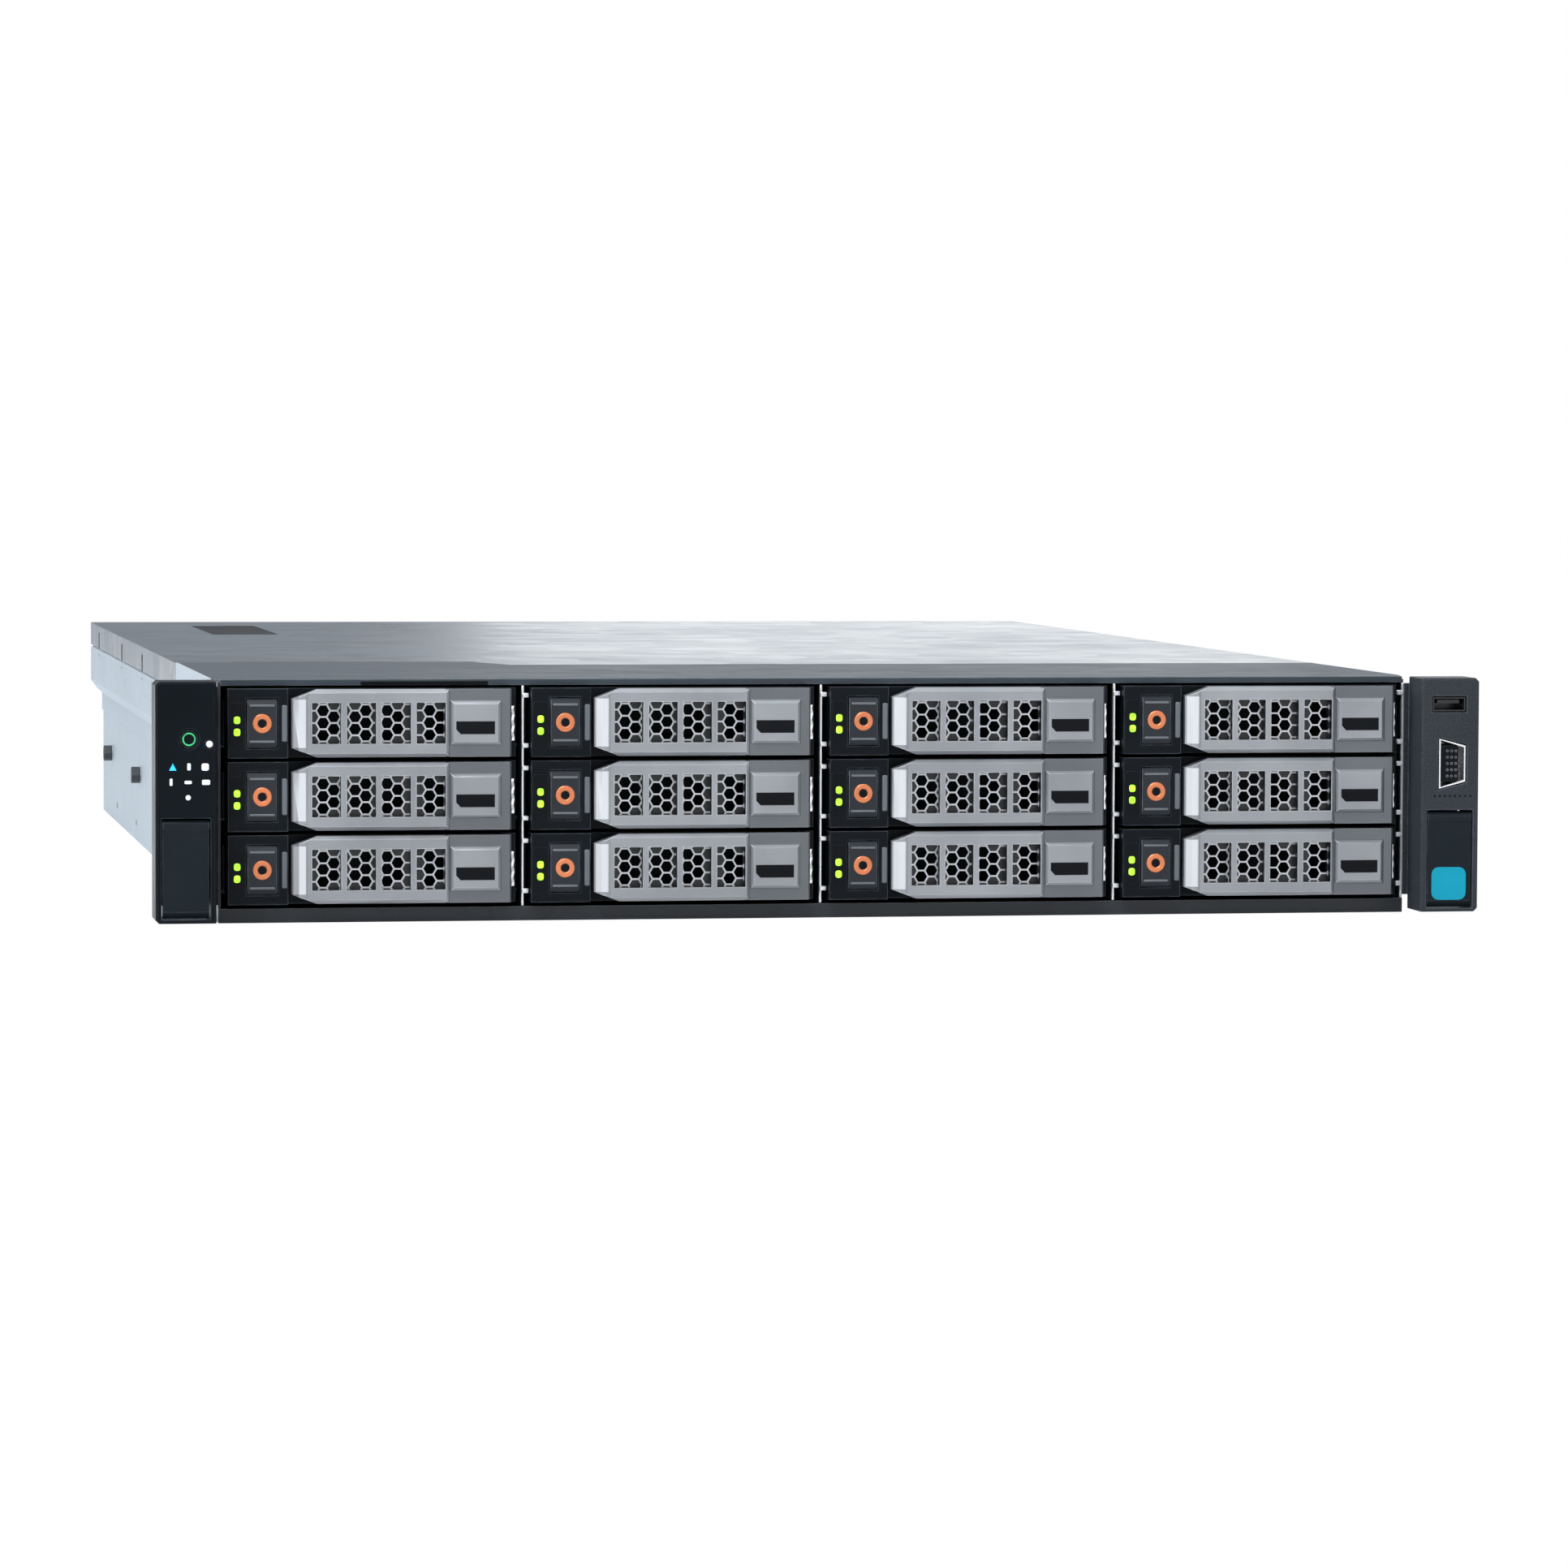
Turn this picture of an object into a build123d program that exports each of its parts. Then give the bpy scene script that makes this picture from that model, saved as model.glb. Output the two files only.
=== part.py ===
from build123d import *
import os
from math import ceil, cos, floor, radians, sin, sqrt

# A 2U rack server with twelve front drives. Millimetres, X to the right, Y to the back, Z up.
# The origin is in the middle of the base, under the plane where the ears meet the rack's posts.

os.makedirs("parts", exist_ok=True)

# Sheets and play
steel = 1.2
skin = 1.0
play = 0.3

# Sides of small round pieces that repeat
few_sides = 8

# Disks and their grid
columns = 4
rows = 3
disk_width = 101.6
disk_height = 25.4
disk_length = 147.0
rail_thickness = 1.8
rail_margin = 4.7
ledge_lap = 1.2
side_play = 1.2
divider = 1.0
row_gap = 0.7
floor_room = 6.1
head_room = 2.4

# Cage
cage_front = -2.0
bottom_lip = 5.2
ledge_thickness = 1.0
side_room = 2.3
connector_length = 6.0
connector_width = 34.0
connector_height = 6.0
backplane_thickness = 2.0
backplane_rim = 4.0
air_slot = 5.0

# Body
depth = 680.0
upper_overhang = 17.0
waist_inset = 4.7
doubler_step = 0.6
seam_drop = 11.7
flare_drop = 26.8
flare_rise = 5.5
doubler_drop = 7.8
cover_flange = 10.3
cover_lift_gap = 0.6
panel_reach = 2.7
panel_step_depth = 33.0
panel_step_left = 113.0
panel_step_width = 12.0
corner_clip_width = 3.1
corner_clip_depth = 16.0
tag_slot_inset = 53.0
tag_slot_width = 46.0
tag_slot_height = 1.0
pin_insets = (327.0, 201.0, 44.0)
pin_radius = 2.0
notch_width = 7.0
first_stud_gap = 80.7
stud_insets = (249.0, 64.0)
stud_height = 29.6
stud_radius = 3.5
stud_reach = 4.0

# Ears
ear_width = 21.5
ear_reach = 20.0
ear_gap = 2.0
ear_foot = 1.3
ear_corner = 2.5
ear_tab = 32.0
bracket = 2.0
rack_hole_inset = 8.65
rack_hole_height = 21.4
rack_hole_radius = 3.5
latch_margin = 2.45
latch_foot = 3.0
latch_gap = 8.7
latch_lip = 2.6
latch_sink = 0.9
latch_plate = 2.4
latch_pin_radius = 1.0
power_inset = 9.7
power_drop = 20.3
power_radius = 3.4
id_inset = 2.5
id_drop = 22.0
id_radius = 1.2
button_depth = 7.0
button_sides = 12
spring_room = 2.0
port_depth = 12.0
port_back = 2.0
video_inset = 11.6
video_drop = 31.3
video_width = 8.8
video_height = 17.2
video_slant = 1.3
video_core_side = 2.2
video_core_end = 3.2
video_core_sink = 2.5
usb_inset = 10.2
usb_drop = 9.6
usb_width = 12.4
usb_height = 5.2
tongue_side = 2.0
tongue_thickness = 1.3
tongue_lift = 0.3
tongue_sink = 1.5
shell = 0.6

# Drive front
bezel_side = 1.0
bezel_margin = 0.3
bezel_front = -1.6
bezel_back = 8.0
disk_front = 10.0
block_front = -6.8
block_width = 21.5
release_inset = 12.2
release_width = 10.6
release_margin = 3.7
release_front = -7.4
release_back = -2.2
release_travel = 1.6
release_bevel = 1.2

# Handle
handle_gap = 1.2
handle_end = 2.2
handle_margin = 0.25
handle_front = -9.0
handle_back = -3.6
handle_step = 1.4
tip_front = -9.8
tip_margin = 3.45
tip_run = 9.0
tip_ridge = 2.0
tip_slope = 2.4
bevel = 1.4
hinge_inset = 2.2
hinge_y = -3.8
hinge_pin = 0.9
lug_radius = 1.8
lug_length = 3.25
windows = 4
window_start = 7.1
window_bar = 2.1
window_rim = 4.85
screen_thickness = 1.5
cell_web = 0.65
cell_pitch = 4.4
cell_shift = 4.3
pad_width = 18.6
pad_inset = 3.6
pad_gap = 1.7
pad_margin = 4.0

# Cover latch
well_inset = 41.0
well_width = 31.0
well_length = 131.0
well_rear = 42.0
well_depth = 9.0
lever_thickness = 5.0
lever_pin = 1.2
lever_pin_inset = 5.0
lever_nose = 12.0
lever_thinning = 1.5

# Fans
fans = 4
fan_head_room = 4.6
fan_depth = 38.0
fan_gap = 12.0
fan_frame = 2.0
duct_sides = 12
blades = 5
blade_angle = 50.0
blade_thickness = 2.0
blade_gap = 3.0
blade_end = 1.0
hub_radius = 17.0
hub_length = 22.0
shaft_radius = 3.0
strut_width = 5.0
strut_depth = 4.0

# Main board
board_gap = 14.0
board_height = 8.0
board_thickness = 1.6
board_side = 1.0
board_notch_gap = 3.0
board_notch_front = 14.0
post_radius = 3.5
post_inset = 12.0
rear_post_inset = 30.0
cooler_width = 78.0
cooler_length = 92.0
cooler_head_room = 12.2
cooler_fins = 9
fin_thickness = 1.4
cooler_base = 6.0
cooler_foot = 4.0
cooler_foot_inset = 16.0
cooler_spacing = 200.0
cooler_start = 34.0
socket_height = 3.0
socket_end = 4.0
module_gap = 7.2
modules_per_side = 3
module_pitch = 9.0
module_length = 133.0
module_height = 31.0
module_thickness = 3.6
module_lead = 10.0

# Power supplies
supply_width = 84.6
supply_height = 38.8
supply_length = 186.0
supply_gap = 1.2
supply_side = 1.0
inlet_width = 27.0
inlet_height = 19.4
inlet_depth = 16.0
inlet_inset = 4.5
inlet_core_side = 4.5
inlet_core_end = 6.0
inlet_core_sink = 2.0
supply_handle_reach = 30.0
supply_handle_thickness = 3.0
supply_handle_span = 36.0
tab_width = 9.0
tab_length = 12.0
tab_inset = 2.0
tab_lift = 1.0
tab_thickness = 3.0
fan_grille_rim = 2.4
fan_grille_inset = 4.0
fan_grille_depth = 6.0

# Rear panel
jack_width = 16.0
jack_height = 13.4
jack_depth = 18.0
jack_hole_depth = 14.0
jack_side = 2.0
jack_top = 3.0
jack_gap = 2.0
jacks = 4
jack_start = 40.0
rear_video_start = 62.7
rear_video_width = 30.0
rear_video_height = 11.0
rear_video_depth = 14.0
rear_video_side = 3.0
rear_video_sill = 1.5
slot_margin = 26.2
slot_start = 16.0
slot_gap = 6.0
slot_height = 14.0
slot_sill = 5.0
bay_side = 8.6
bay_gap = 4.0
bay_height = 17.0

# Derived sizes of the disks' grid
column_pitch = disk_width + 2 * (rail_thickness + side_play) + divider
row_pitch = disk_height + row_gap
height = floor_room + rows * row_pitch + head_room
rail_height = disk_height - 2 * rail_margin
cage_width = columns * column_pitch + divider
column_centres = [(index - (columns - 1) / 2) * column_pitch for index in range(columns)]
row_centres = [floor_room + (rows - index - 0.5) * row_pitch for index in range(rows)]
disk_back = disk_front + disk_length
backplane_front = disk_back + play + connector_length
cage_back = backplane_front + backplane_thickness

# Derived sizes of the body
body_width = cage_width + 2 * side_room
waist_width = body_width - 2 * waist_inset
skin_bottom = height - skin
wall_top = skin_bottom - play
lip_bottom = floor_room + rows * row_pitch + play / 2
upper_depth = depth + upper_overhang
seam_height = height - seam_drop
flare_high = height - flare_drop
flare_low = flare_high - flare_rise
doubler_top = flare_low - doubler_drop
panel_depth_left = cage_back + panel_reach
panel_depth_right = panel_depth_left - panel_step_depth
step_left = -body_width / 2 + panel_step_left
step_right = step_left + panel_step_width
pin_places = [depth - inset for inset in pin_insets]
stud_places = [cage_back + first_stud_gap] + [depth - inset for inset in stud_insets]
well_left = -body_width / 2 + well_inset
well_right = well_left + well_width
well_back = depth - well_rear
well_front = well_back - well_length

# Derived sizes of the ears
ear_inner = cage_width / 2 + ear_gap
ear_outer = ear_inner + ear_width
ear_middle = ear_inner + ear_width / 2
rack_hole_x = ear_outer - rack_hole_inset
latch_width = ear_width - 2 * latch_margin
latch_top = height - video_drop - video_height / 2 - latch_gap
power_x, power_z = -ear_inner - power_inset, height - power_drop
id_x, id_z = -ear_inner - id_inset, height - id_drop
video_x, video_z = ear_inner + video_inset, height - video_drop
usb_x, usb_z = ear_inner + usb_inset, height - usb_drop

# Derived sizes of the drive fronts and handles, about each drive's own centre
bezel_width = disk_width + 2 * bezel_side
bezel_height = disk_height - 2 * bezel_margin
block_right = -bezel_width / 2 + block_width
release_x = -bezel_width / 2 + release_inset
release_height = bezel_height - 2 * release_margin
handle_left = block_right + handle_gap
handle_right = bezel_width / 2 - handle_end
handle_height = bezel_height - 2 * handle_margin
tip_height = handle_height - 2 * tip_margin
barrel_height = handle_height - 2 * lug_length
hinge_x = handle_right - hinge_inset
pad_right = handle_right - pad_inset
pad_left = pad_right - pad_width
pad_height = handle_height - 2 * pad_margin
window_left = handle_left + window_start
window_right = pad_left - pad_gap
window_width = (window_right - window_left - (windows - 1) * window_bar) / windows
window_pitch = window_width + window_bar
window_height = handle_height - 2 * window_rim
cell_rows = floor(window_height / cell_pitch)
cell_step = cell_pitch * sqrt(3) / 2
cell_radius = (cell_pitch - cell_web) / sqrt(3)

# Derived sizes of the inside
inner_side = waist_width / 2 - steel
fan_size = skin_bottom - steel - fan_head_room
fan_pitch = 2 * inner_side / fans
fan_bore = fan_size - 2 * fan_frame
rotor_radius = fan_bore / 2 - blade_gap
fan_front = cage_back + fan_gap
fan_back = fan_front + fan_depth
board_front = fan_back + board_gap
board_back = depth - steel - board_side
board_top = board_height + board_thickness
cooler_front = board_front + cooler_start
module_reach = cooler_width / 2 + module_gap + module_thickness / 2
supply_front = depth - supply_length
supply_base = steel + play
supply_left = -inner_side + supply_side
supply_right = supply_left + 2 * supply_width + supply_gap
fan_grille_radius = supply_height / 2 - fan_grille_rim
jack_pitch = jack_width + jack_gap
rear_video_x = supply_right + rear_video_start
first_jack_x = rear_video_x + jack_start
upper_inner = body_width / 2 - skin - play - steel
slot_left = supply_right + slot_start
slot_width = (upper_inner - slot_margin - slot_left - slot_gap) / 2
bay_width = supply_width - bay_side


def span(low, high, bottom, top):
    """A rectangle on a sketch plane, from its four limits."""
    return Pos((low + high) / 2, (bottom + top) / 2) * Rectangle(high - low, top - bottom)


def outline(*points):
    """A closed outline on a sketch plane."""
    return Polygon(*points, align=None)


def along_x(sketch, start, end):
    """A sketch of Y and Z, drawn out from one X to another."""
    return extrude(Plane.YZ.offset(start) * sketch, amount=end - start, dir=(1, 0, 0))


def along_y(sketch, start, end):
    """A sketch of X and Z, drawn out from one Y to another."""
    return extrude(Plane.XZ.offset(-start) * sketch, amount=end - start, dir=(0, 1, 0))


def along_z(sketch, start, end):
    """A sketch of X and Y, drawn out from one Z to another."""
    return extrude(Plane.XY.offset(start) * sketch, amount=end - start, dir=(0, 0, 1))


def other_side(piece):
    """The same piece on the other side of the middle."""
    return mirror(piece, about=Plane.YZ)


def write(name, *pieces):
    """Writes one node, with each piece as a solid of its own."""
    solids = [solid for piece in pieces for solid in piece.solids()]
    export_step(solids[0] if len(solids) == 1 else Compound(children=solids), f"parts/{name}.step")


def tub_wall():
    """Half of the chassis section, from the middle of the floor up to the wall's top."""
    side, waist = body_width / 2, waist_width / 2
    inner = side - skin - play
    outside = [(0, 0), (waist, 0), (waist, doubler_top), (waist + doubler_step, doubler_top)]
    outside += [(waist + doubler_step, flare_low), (side, flare_high), (side, seam_height)]
    outside += [(inner, seam_height + skin), (inner, wall_top)]
    inside = [(inner - steel, wall_top), (inner - steel, seam_height), (side - steel, seam_height - skin)]
    inside += [(side - steel, flare_high + steel / 2), (waist + doubler_step - steel, flare_low + steel / 2)]
    inside += [(waist + doubler_step - steel, doubler_top), (waist - steel, doubler_top), (waist - steel, steel)]
    inside += [(0, steel)]
    return outline(*outside, *inside)


def rail_studs():
    """Headed studs on one lower side wall, where the rack's rails hook on."""
    wall = waist_width / 2
    stud = RegularPolygon(stud_radius, few_sides)
    return [along_x(Pos(place, stud_height) * stud, wall, wall + stud_reach) for place in stud_places]


def cover_pins():
    """Short pins on one upper wall, which sit in the cover flange's notches."""
    wall = body_width / 2 - skin - play
    disc = RegularPolygon(pin_radius, few_sides)
    return [along_x(Pos(place, height - cover_flange + pin_radius) * disc, wall, body_width / 2) for place in pin_places]


def chassis():
    """The tub behind the drive cage: floor, waisted side walls, pins and rail studs."""
    half = along_y(tub_wall(), cage_back, upper_depth)
    half -= along_y(span(0, body_width, -steel, flare_low + steel), depth, upper_depth)
    for stud in rail_studs() + cover_pins():
        half += stud
    return half + other_side(half)


def front_top_panel():
    """The fixed panel over the drives, with a stepped back edge, side flanges and a slotted front lip."""
    side = body_width / 2
    clip = side - corner_clip_width
    flange_front = cage_front + corner_clip_depth
    sheet = outline(
        (-clip, cage_front), (clip, cage_front), (side, flange_front), (side, panel_depth_right),
        (step_right, panel_depth_right), (step_left, panel_depth_left),
        (-side, panel_depth_left), (-side, flange_front))
    panel = along_z(sheet, skin_bottom, height)
    flange_bottom = height - cover_flange
    panel += along_y(span(side - skin, side, flange_bottom, height), flange_front, panel_depth_right)
    panel += along_y(span(-side, -side + skin, flange_bottom, height), flange_front, panel_depth_left)
    lip = span(-clip, clip, lip_bottom, height)
    middle = (lip_bottom + skin_bottom) / 2 + skin / 2
    slot_x = -side + tag_slot_inset + tag_slot_width / 2
    lip -= Pos(slot_x, middle) * Rectangle(tag_slot_width, tag_slot_height)
    return panel + along_y(lip, cage_front, cage_front + skin)


def top_cover():
    """The lift-off cover: a sheet with notched side flanges and a well for its latch."""
    side = body_width / 2
    right_edge = panel_depth_right + cover_lift_gap
    left_edge = panel_depth_left + cover_lift_gap
    sheet = outline(
        (side, right_edge), (side, upper_depth), (-side, upper_depth), (-side, left_edge),
        (step_left + cover_lift_gap, left_edge), (step_right + cover_lift_gap, right_edge))
    sheet -= span(well_left + skin, well_right - skin, well_front + skin, well_back - skin)
    cover = along_z(sheet, skin_bottom, height)
    flange_bottom = height - cover_flange
    for x, front in ((side - skin, right_edge), (-side, left_edge)):
        flange = span(front, upper_depth, flange_bottom, height)
        for place in pin_places:
            flange -= span(place - notch_width / 2, place + notch_width / 2, flange_bottom, flange_bottom + notch_width)
        cover += along_x(flange, x, x + skin)
    well = along_z(span(well_left, well_right, well_front, well_back), height - well_depth, skin_bottom)
    inside = span(well_left + skin, well_right - skin, well_front + skin, well_back - skin)
    pin = along_x(Pos(*lever_axis()) * RegularPolygon(lever_pin, 6), well_left + skin, well_right - skin)
    return cover + (well - along_z(inside, height - well_depth + skin, skin_bottom)) + pin


def lever_axis():
    """Where the cover's lever turns, as Y and Z."""
    return well_back - skin - play - lever_pin_inset, height - lever_thickness / 2 - play


def cover_latch():
    """The cover's flush lever, on a pin across the back of its well."""
    left, right = well_left + skin + play, well_right - skin - play
    front = well_front + skin + play
    pin_y, pin_z = lever_axis()
    half = lever_thickness / 2
    low = pin_z - half
    thin = low + lever_thinning
    side = outline(
        (front, pin_z + half), (front, thin), (front + lever_nose, thin), (front + lever_nose + half, low),
        (pin_y + half / 2, low), (pin_y + half, pin_z - half / 2), (pin_y + half, pin_z + half / 2),
        (pin_y + half / 2, pin_z + half))
    side -= Pos(pin_y, pin_z) * RegularPolygon((lever_pin + play) / cos(radians(30)), 6)
    middle, reach = (left + right) / 2, (right - left) / 4
    finger = outline(
        (middle - reach, front - 1), (middle + reach, front - 1), (middle + reach, front + reach / 2),
        (middle + reach / 2, front + reach), (middle - reach / 2, front + reach), (middle - reach, front + reach / 2))
    return along_x(side, left, right) - along_z(finger, low - steel, height)


def cage_section():
    """The cage's floor, side walls and dividers, seen from the front."""
    wall = cage_width / 2
    section = span(-wall, wall, 0, steel)
    for index in range(columns + 1):
        middle = (index - columns / 2) * column_pitch
        section += span(middle - divider / 2, middle + divider / 2, 0, skin_bottom)
    return section


def ledges():
    """Shelves on the dividers, one under each carrier rail."""
    inner = disk_width / 2 + rail_thickness - ledge_lap
    outer = column_pitch / 2 - divider / 2
    section = Sketch()
    for x in column_centres:
        for z in row_centres:
            top = z - rail_height / 2 - play
            section += span(x - outer, x - inner, top - ledge_thickness, top)
            section += span(x + inner, x + outer, top - ledge_thickness, top)
    return section


def drive_cage():
    """The riveted cage round the twelve drives, with its dark lower lip."""
    cage = along_y(cage_section(), cage_front + skin, backplane_front)
    cage += along_y(ledges(), bezel_back + side_play, backplane_front)
    wall = cage_width / 2
    cage += along_y(span(-wall, wall, 0, bottom_lip), cage_front, cage_front + steel)
    tail = span(-wall, wall, 0, steel) + span(-wall, -wall + divider, 0, skin_bottom)
    tail += span(wall - divider, wall, 0, skin_bottom)
    return cage + along_y(tail, backplane_front, cage_back)


def backplane():
    """The drives' circuit board, with a connector for each and slots for the air."""
    wall = cage_width / 2 - divider
    board = span(-wall, wall, steel, skin_bottom - backplane_rim)
    for x in column_centres:
        for z in row_centres[1:]:
            board -= Pos(x, z + row_pitch / 2) * Rectangle(disk_width * 2 / 3, air_slot)
    plate = along_y(board, backplane_front, cage_back)
    connector = Rectangle(connector_width, connector_height)
    for x in column_centres:
        for z in row_centres:
            place = Pos(x - connector_width / 2, z - disk_height / 4)
            plate += along_y(place * connector, disk_back + play, backplane_front)
    return plate


def ear_housing():
    """The right ear's moulded housing, open at the front for its latch."""
    front = -ear_reach
    shape = span(ear_inner, ear_outer, ear_foot, height)
    block = along_y(shape, front, -bracket)
    block = chamfer(block.edges().filter_by(Axis.Y).group_by(Axis.X)[-1], ear_corner / 2)
    face_edges = block.faces().sort_by(Axis.Y)[0].edges()
    block = chamfer(face_edges, ear_corner / 4)
    half = latch_width / 2 + play
    bay = span(ear_middle - half, ear_middle + half, latch_foot - play, latch_top + play)
    return block - along_y(bay, front - 1, -bracket)


def ear_bracket():
    """The right ear's steel angle: the flange against the rack's post, and a tab along the cage."""
    flange = span(cage_width / 2, ear_outer - ear_corner, ear_foot + bottom_lip, height - ear_corner)
    flange -= Pos(rack_hole_x, rack_hole_height) * Circle(rack_hole_radius)
    angle = along_y(flange, -bracket, 0)
    inner = cage_width / 2
    tab = span(inner, inner + bracket / 2, ear_foot + bottom_lip, height - cover_flange - play)
    return angle + along_y(tab, 0, ear_tab)


def latch_pivot():
    """Where the ear latches turn, as Y and Z."""
    return -ear_reach + latch_lip, latch_top - latch_lip


def ear_latch():
    """The right ear's latch: a round lip that turns on the pin, with a thin plate below it."""
    pin_y, pin_z = latch_pivot()
    front = -ear_reach + latch_sink
    side = outline(
        (front, pin_z), (front, latch_foot + latch_plate), (front + latch_plate / 2, latch_foot),
        (front + latch_plate, latch_foot), (front + latch_plate, pin_z))
    side += Pos(pin_y, pin_z) * RegularPolygon(latch_lip, 12)
    side -= Pos(pin_y, pin_z) * RegularPolygon(latch_pin_radius + play, few_sides)
    return along_x(side, ear_middle - latch_width / 2, ear_middle + latch_width / 2)


def latch_pin():
    """The pin that joins the right ear's bay walls, with the latch turning on it."""
    pin = Pos(*latch_pivot()) * RegularPolygon(latch_pin_radius, few_sides)
    reach = latch_width / 2 + play
    return along_x(pin, ear_middle - reach, ear_middle + reach)


def ears_and_latches():
    """Both ears and both latches. The left ear takes the buttons, the right ear the ports."""
    latch = ear_latch()
    housing = ear_housing() + latch_pin()
    video = video_socket_outline(shell + play)
    usb = span(usb_x - usb_width / 2 - play, usb_x + usb_width / 2 + play,
               usb_z - usb_height / 2 - play, usb_z + usb_height / 2 + play)
    right = housing - along_y(video + usb, -ear_reach - 1, -ear_reach + port_depth)
    left = other_side(housing)
    for x, z, radius in ((power_x, power_z, power_radius), (id_x, id_z, id_radius)):
        hole = Pos(x, z) * RegularPolygon(radius + play, button_sides)
        left -= along_y(hole, -ear_reach - 1, -ear_reach + button_depth + spring_room)
    write("left_ear", left, other_side(ear_bracket()))
    write("right_ear", right, ear_bracket())
    write("left_latch", other_side(latch))
    write("right_latch", latch)


def video_socket_outline(margin):
    """The standing D shape of a 15-way video socket, grown by a margin."""
    half, tall = video_width / 2 + margin, video_height / 2 + margin
    return outline(
        (video_x - half, video_z + tall), (video_x + half, video_z + tall - video_slant * 2),
        (video_x + half, video_z - tall + video_slant * 2), (video_x - half, video_z - tall))


def front_ports():
    """The sockets in the right ear: a video socket and a flat serial bus socket."""
    front, back = -ear_reach + shell, -ear_reach + port_depth
    deep = back - port_back
    video = along_y(video_socket_outline(shell), front, back) - along_y(video_socket_outline(0), front - 1, deep)
    core = Rectangle(video_width - 2 * video_core_side, video_height - 2 * video_core_end)
    video += along_y(Pos(video_x, video_z) * core, front + video_core_sink, deep)
    usb_sketch = Pos(usb_x, usb_z) * Rectangle(usb_width, usb_height)
    inside = Pos(usb_x, usb_z) * Rectangle(usb_width - 2 * shell, usb_height - 2 * shell)
    usb = along_y(usb_sketch, front, back) - along_y(inside, front - 1, deep)
    tongue = Rectangle(usb_width - 2 * tongue_side, tongue_thickness)
    place = Pos(usb_x, usb_z + tongue_lift + tongue_thickness / 2)
    return video, usb + along_y(place * tongue, front + tongue_sink, deep)


def push_button(x, z, radius):
    """A round button in the left ear."""
    return along_y(Pos(x, z) * RegularPolygon(radius, button_sides), -ear_reach - play, -ear_reach + button_depth)


def drive_body():
    """One drive about its own row and column centre: bezel, carrier rails and disk."""
    half, tall = bezel_width / 2, bezel_height / 2
    plan = outline(
        (-half, block_front), (block_right, block_front), (block_right, bezel_front),
        (half, bezel_front), (half, bezel_back), (-half, bezel_back))
    bezel = along_z(plan, -tall, tall)
    pocket = Pos(release_x, 0) * Rectangle(release_width + 2 * play, release_height + 2 * play)
    bezel -= along_y(pocket, block_front - 1, release_back + release_travel + play)
    vent = span(window_left, window_right, -window_height / 2, window_height / 2)
    bezel -= along_y(vent, bezel_front - 1, bezel_back + 1)
    inner = disk_width / 2
    rail = span(inner, inner + rail_thickness, -rail_height / 2, rail_height / 2)
    rails = along_y(rail, bezel_back, disk_back)
    rails += other_side(rails)
    flat = lug_radius * 0.6
    lug = outline(
        (hinge_x - lug_radius, bezel_front), (hinge_x - lug_radius, hinge_y), (hinge_x - flat, hinge_y - flat),
        (hinge_x + flat, hinge_y - flat), (hinge_x + lug_radius, hinge_y), (hinge_x + lug_radius, bezel_front))
    lugs = along_z(lug, barrel_height / 2 + play, tall - play)
    lugs += mirror(lugs, about=Plane.XY)
    pin = along_z(Pos(hinge_x, hinge_y) * RegularPolygon(hinge_pin, 6), -barrel_height / 2 - 1, barrel_height / 2 + 1)
    disk = along_y(Rectangle(disk_width, disk_height), disk_front, disk_back)
    return bezel + rails + lugs + pin, disk


def cell_sketch():
    """One honeycomb grid carried on behind the windows, with the columns of cells that a window shows."""
    cell = RegularPolygon(cell_radius, 6)
    first = window_left + cell_shift
    cells = []
    for index in range(windows):
        left = window_left + index * window_pitch + cell_web / 2
        right = left + window_width - cell_web
        low = ceil((left - first + cell_radius / 2) / cell_step)
        high = floor((right - first - cell_radius / 2) / cell_step)
        for column in range(low, high + 1):
            count = cell_rows - column % 2
            for row in range(count):
                whole = Pos(first + column * cell_step, (row - (count - 1) / 2) * cell_pitch) * cell
                cells.append(whole & span(left, right, -window_height, window_height))
    return Sketch() + cells


def handle_body():
    """One handle about its own row and column centre: bevelled, windowed, with a honeycomb screen."""
    tall = handle_height / 2
    low = handle_front + handle_step
    plan = outline(
        (handle_left, handle_back), (handle_left, low), (handle_left + tip_slope, tip_front),
        (handle_left + tip_slope + tip_ridge, tip_front),
        (handle_left + tip_slope + tip_ridge + bevel, handle_front), (window_right + play, handle_front),
        (window_right + play + handle_step, low), (handle_right - bevel / 2, low), (handle_right, low + bevel / 2),
        (handle_right, hinge_y - lug_radius - play), (hinge_x + lug_radius, handle_back))
    side = outline(
        (handle_back, tall), (low, tall), (tip_front, tall - low + tip_front), (tip_front, -tall + low - tip_front),
        (low, -tall), (handle_back, -tall))
    face = outline(
        (handle_left, tip_height / 2), (handle_left + tip_run, tall), (handle_right, tall), (handle_right, -tall),
        (handle_left + tip_run, -tall), (handle_left, -tip_height / 2))
    blank = along_z(plan, -tall, tall) & along_x(side, handle_left - 1, handle_right + 1)
    blank &= along_y(face, tip_front - 1, handle_back + 1)
    pad = Plane.XZ.offset(-low) * span(pad_left, pad_right, -pad_height / 2, pad_height / 2)
    blank += extrude(pad, amount=handle_step, taper=45)
    screen = handle_back - screen_thickness
    for index in range(windows):
        left = window_left + index * window_pitch
        window = span(left, left + window_width, -window_height / 2, window_height / 2)
        blank -= along_y(window, tip_front - 1, screen)
    blank -= along_y(cell_sketch(), screen - 1, handle_back + 1)
    clear = lug_radius + play
    pocket = span(hinge_x - 2 * lug_radius, handle_right + 1, hinge_y - clear, handle_back + 1)
    pockets = along_z(pocket, barrel_height / 2, tall + 1)
    blank -= pockets + mirror(pockets, about=Plane.XY)
    bore = Pos(hinge_x, hinge_y) * RegularPolygon((hinge_pin + play / 2) / cos(radians(30)), 6)
    return blank - along_z(bore, -tall, tall)


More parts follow.
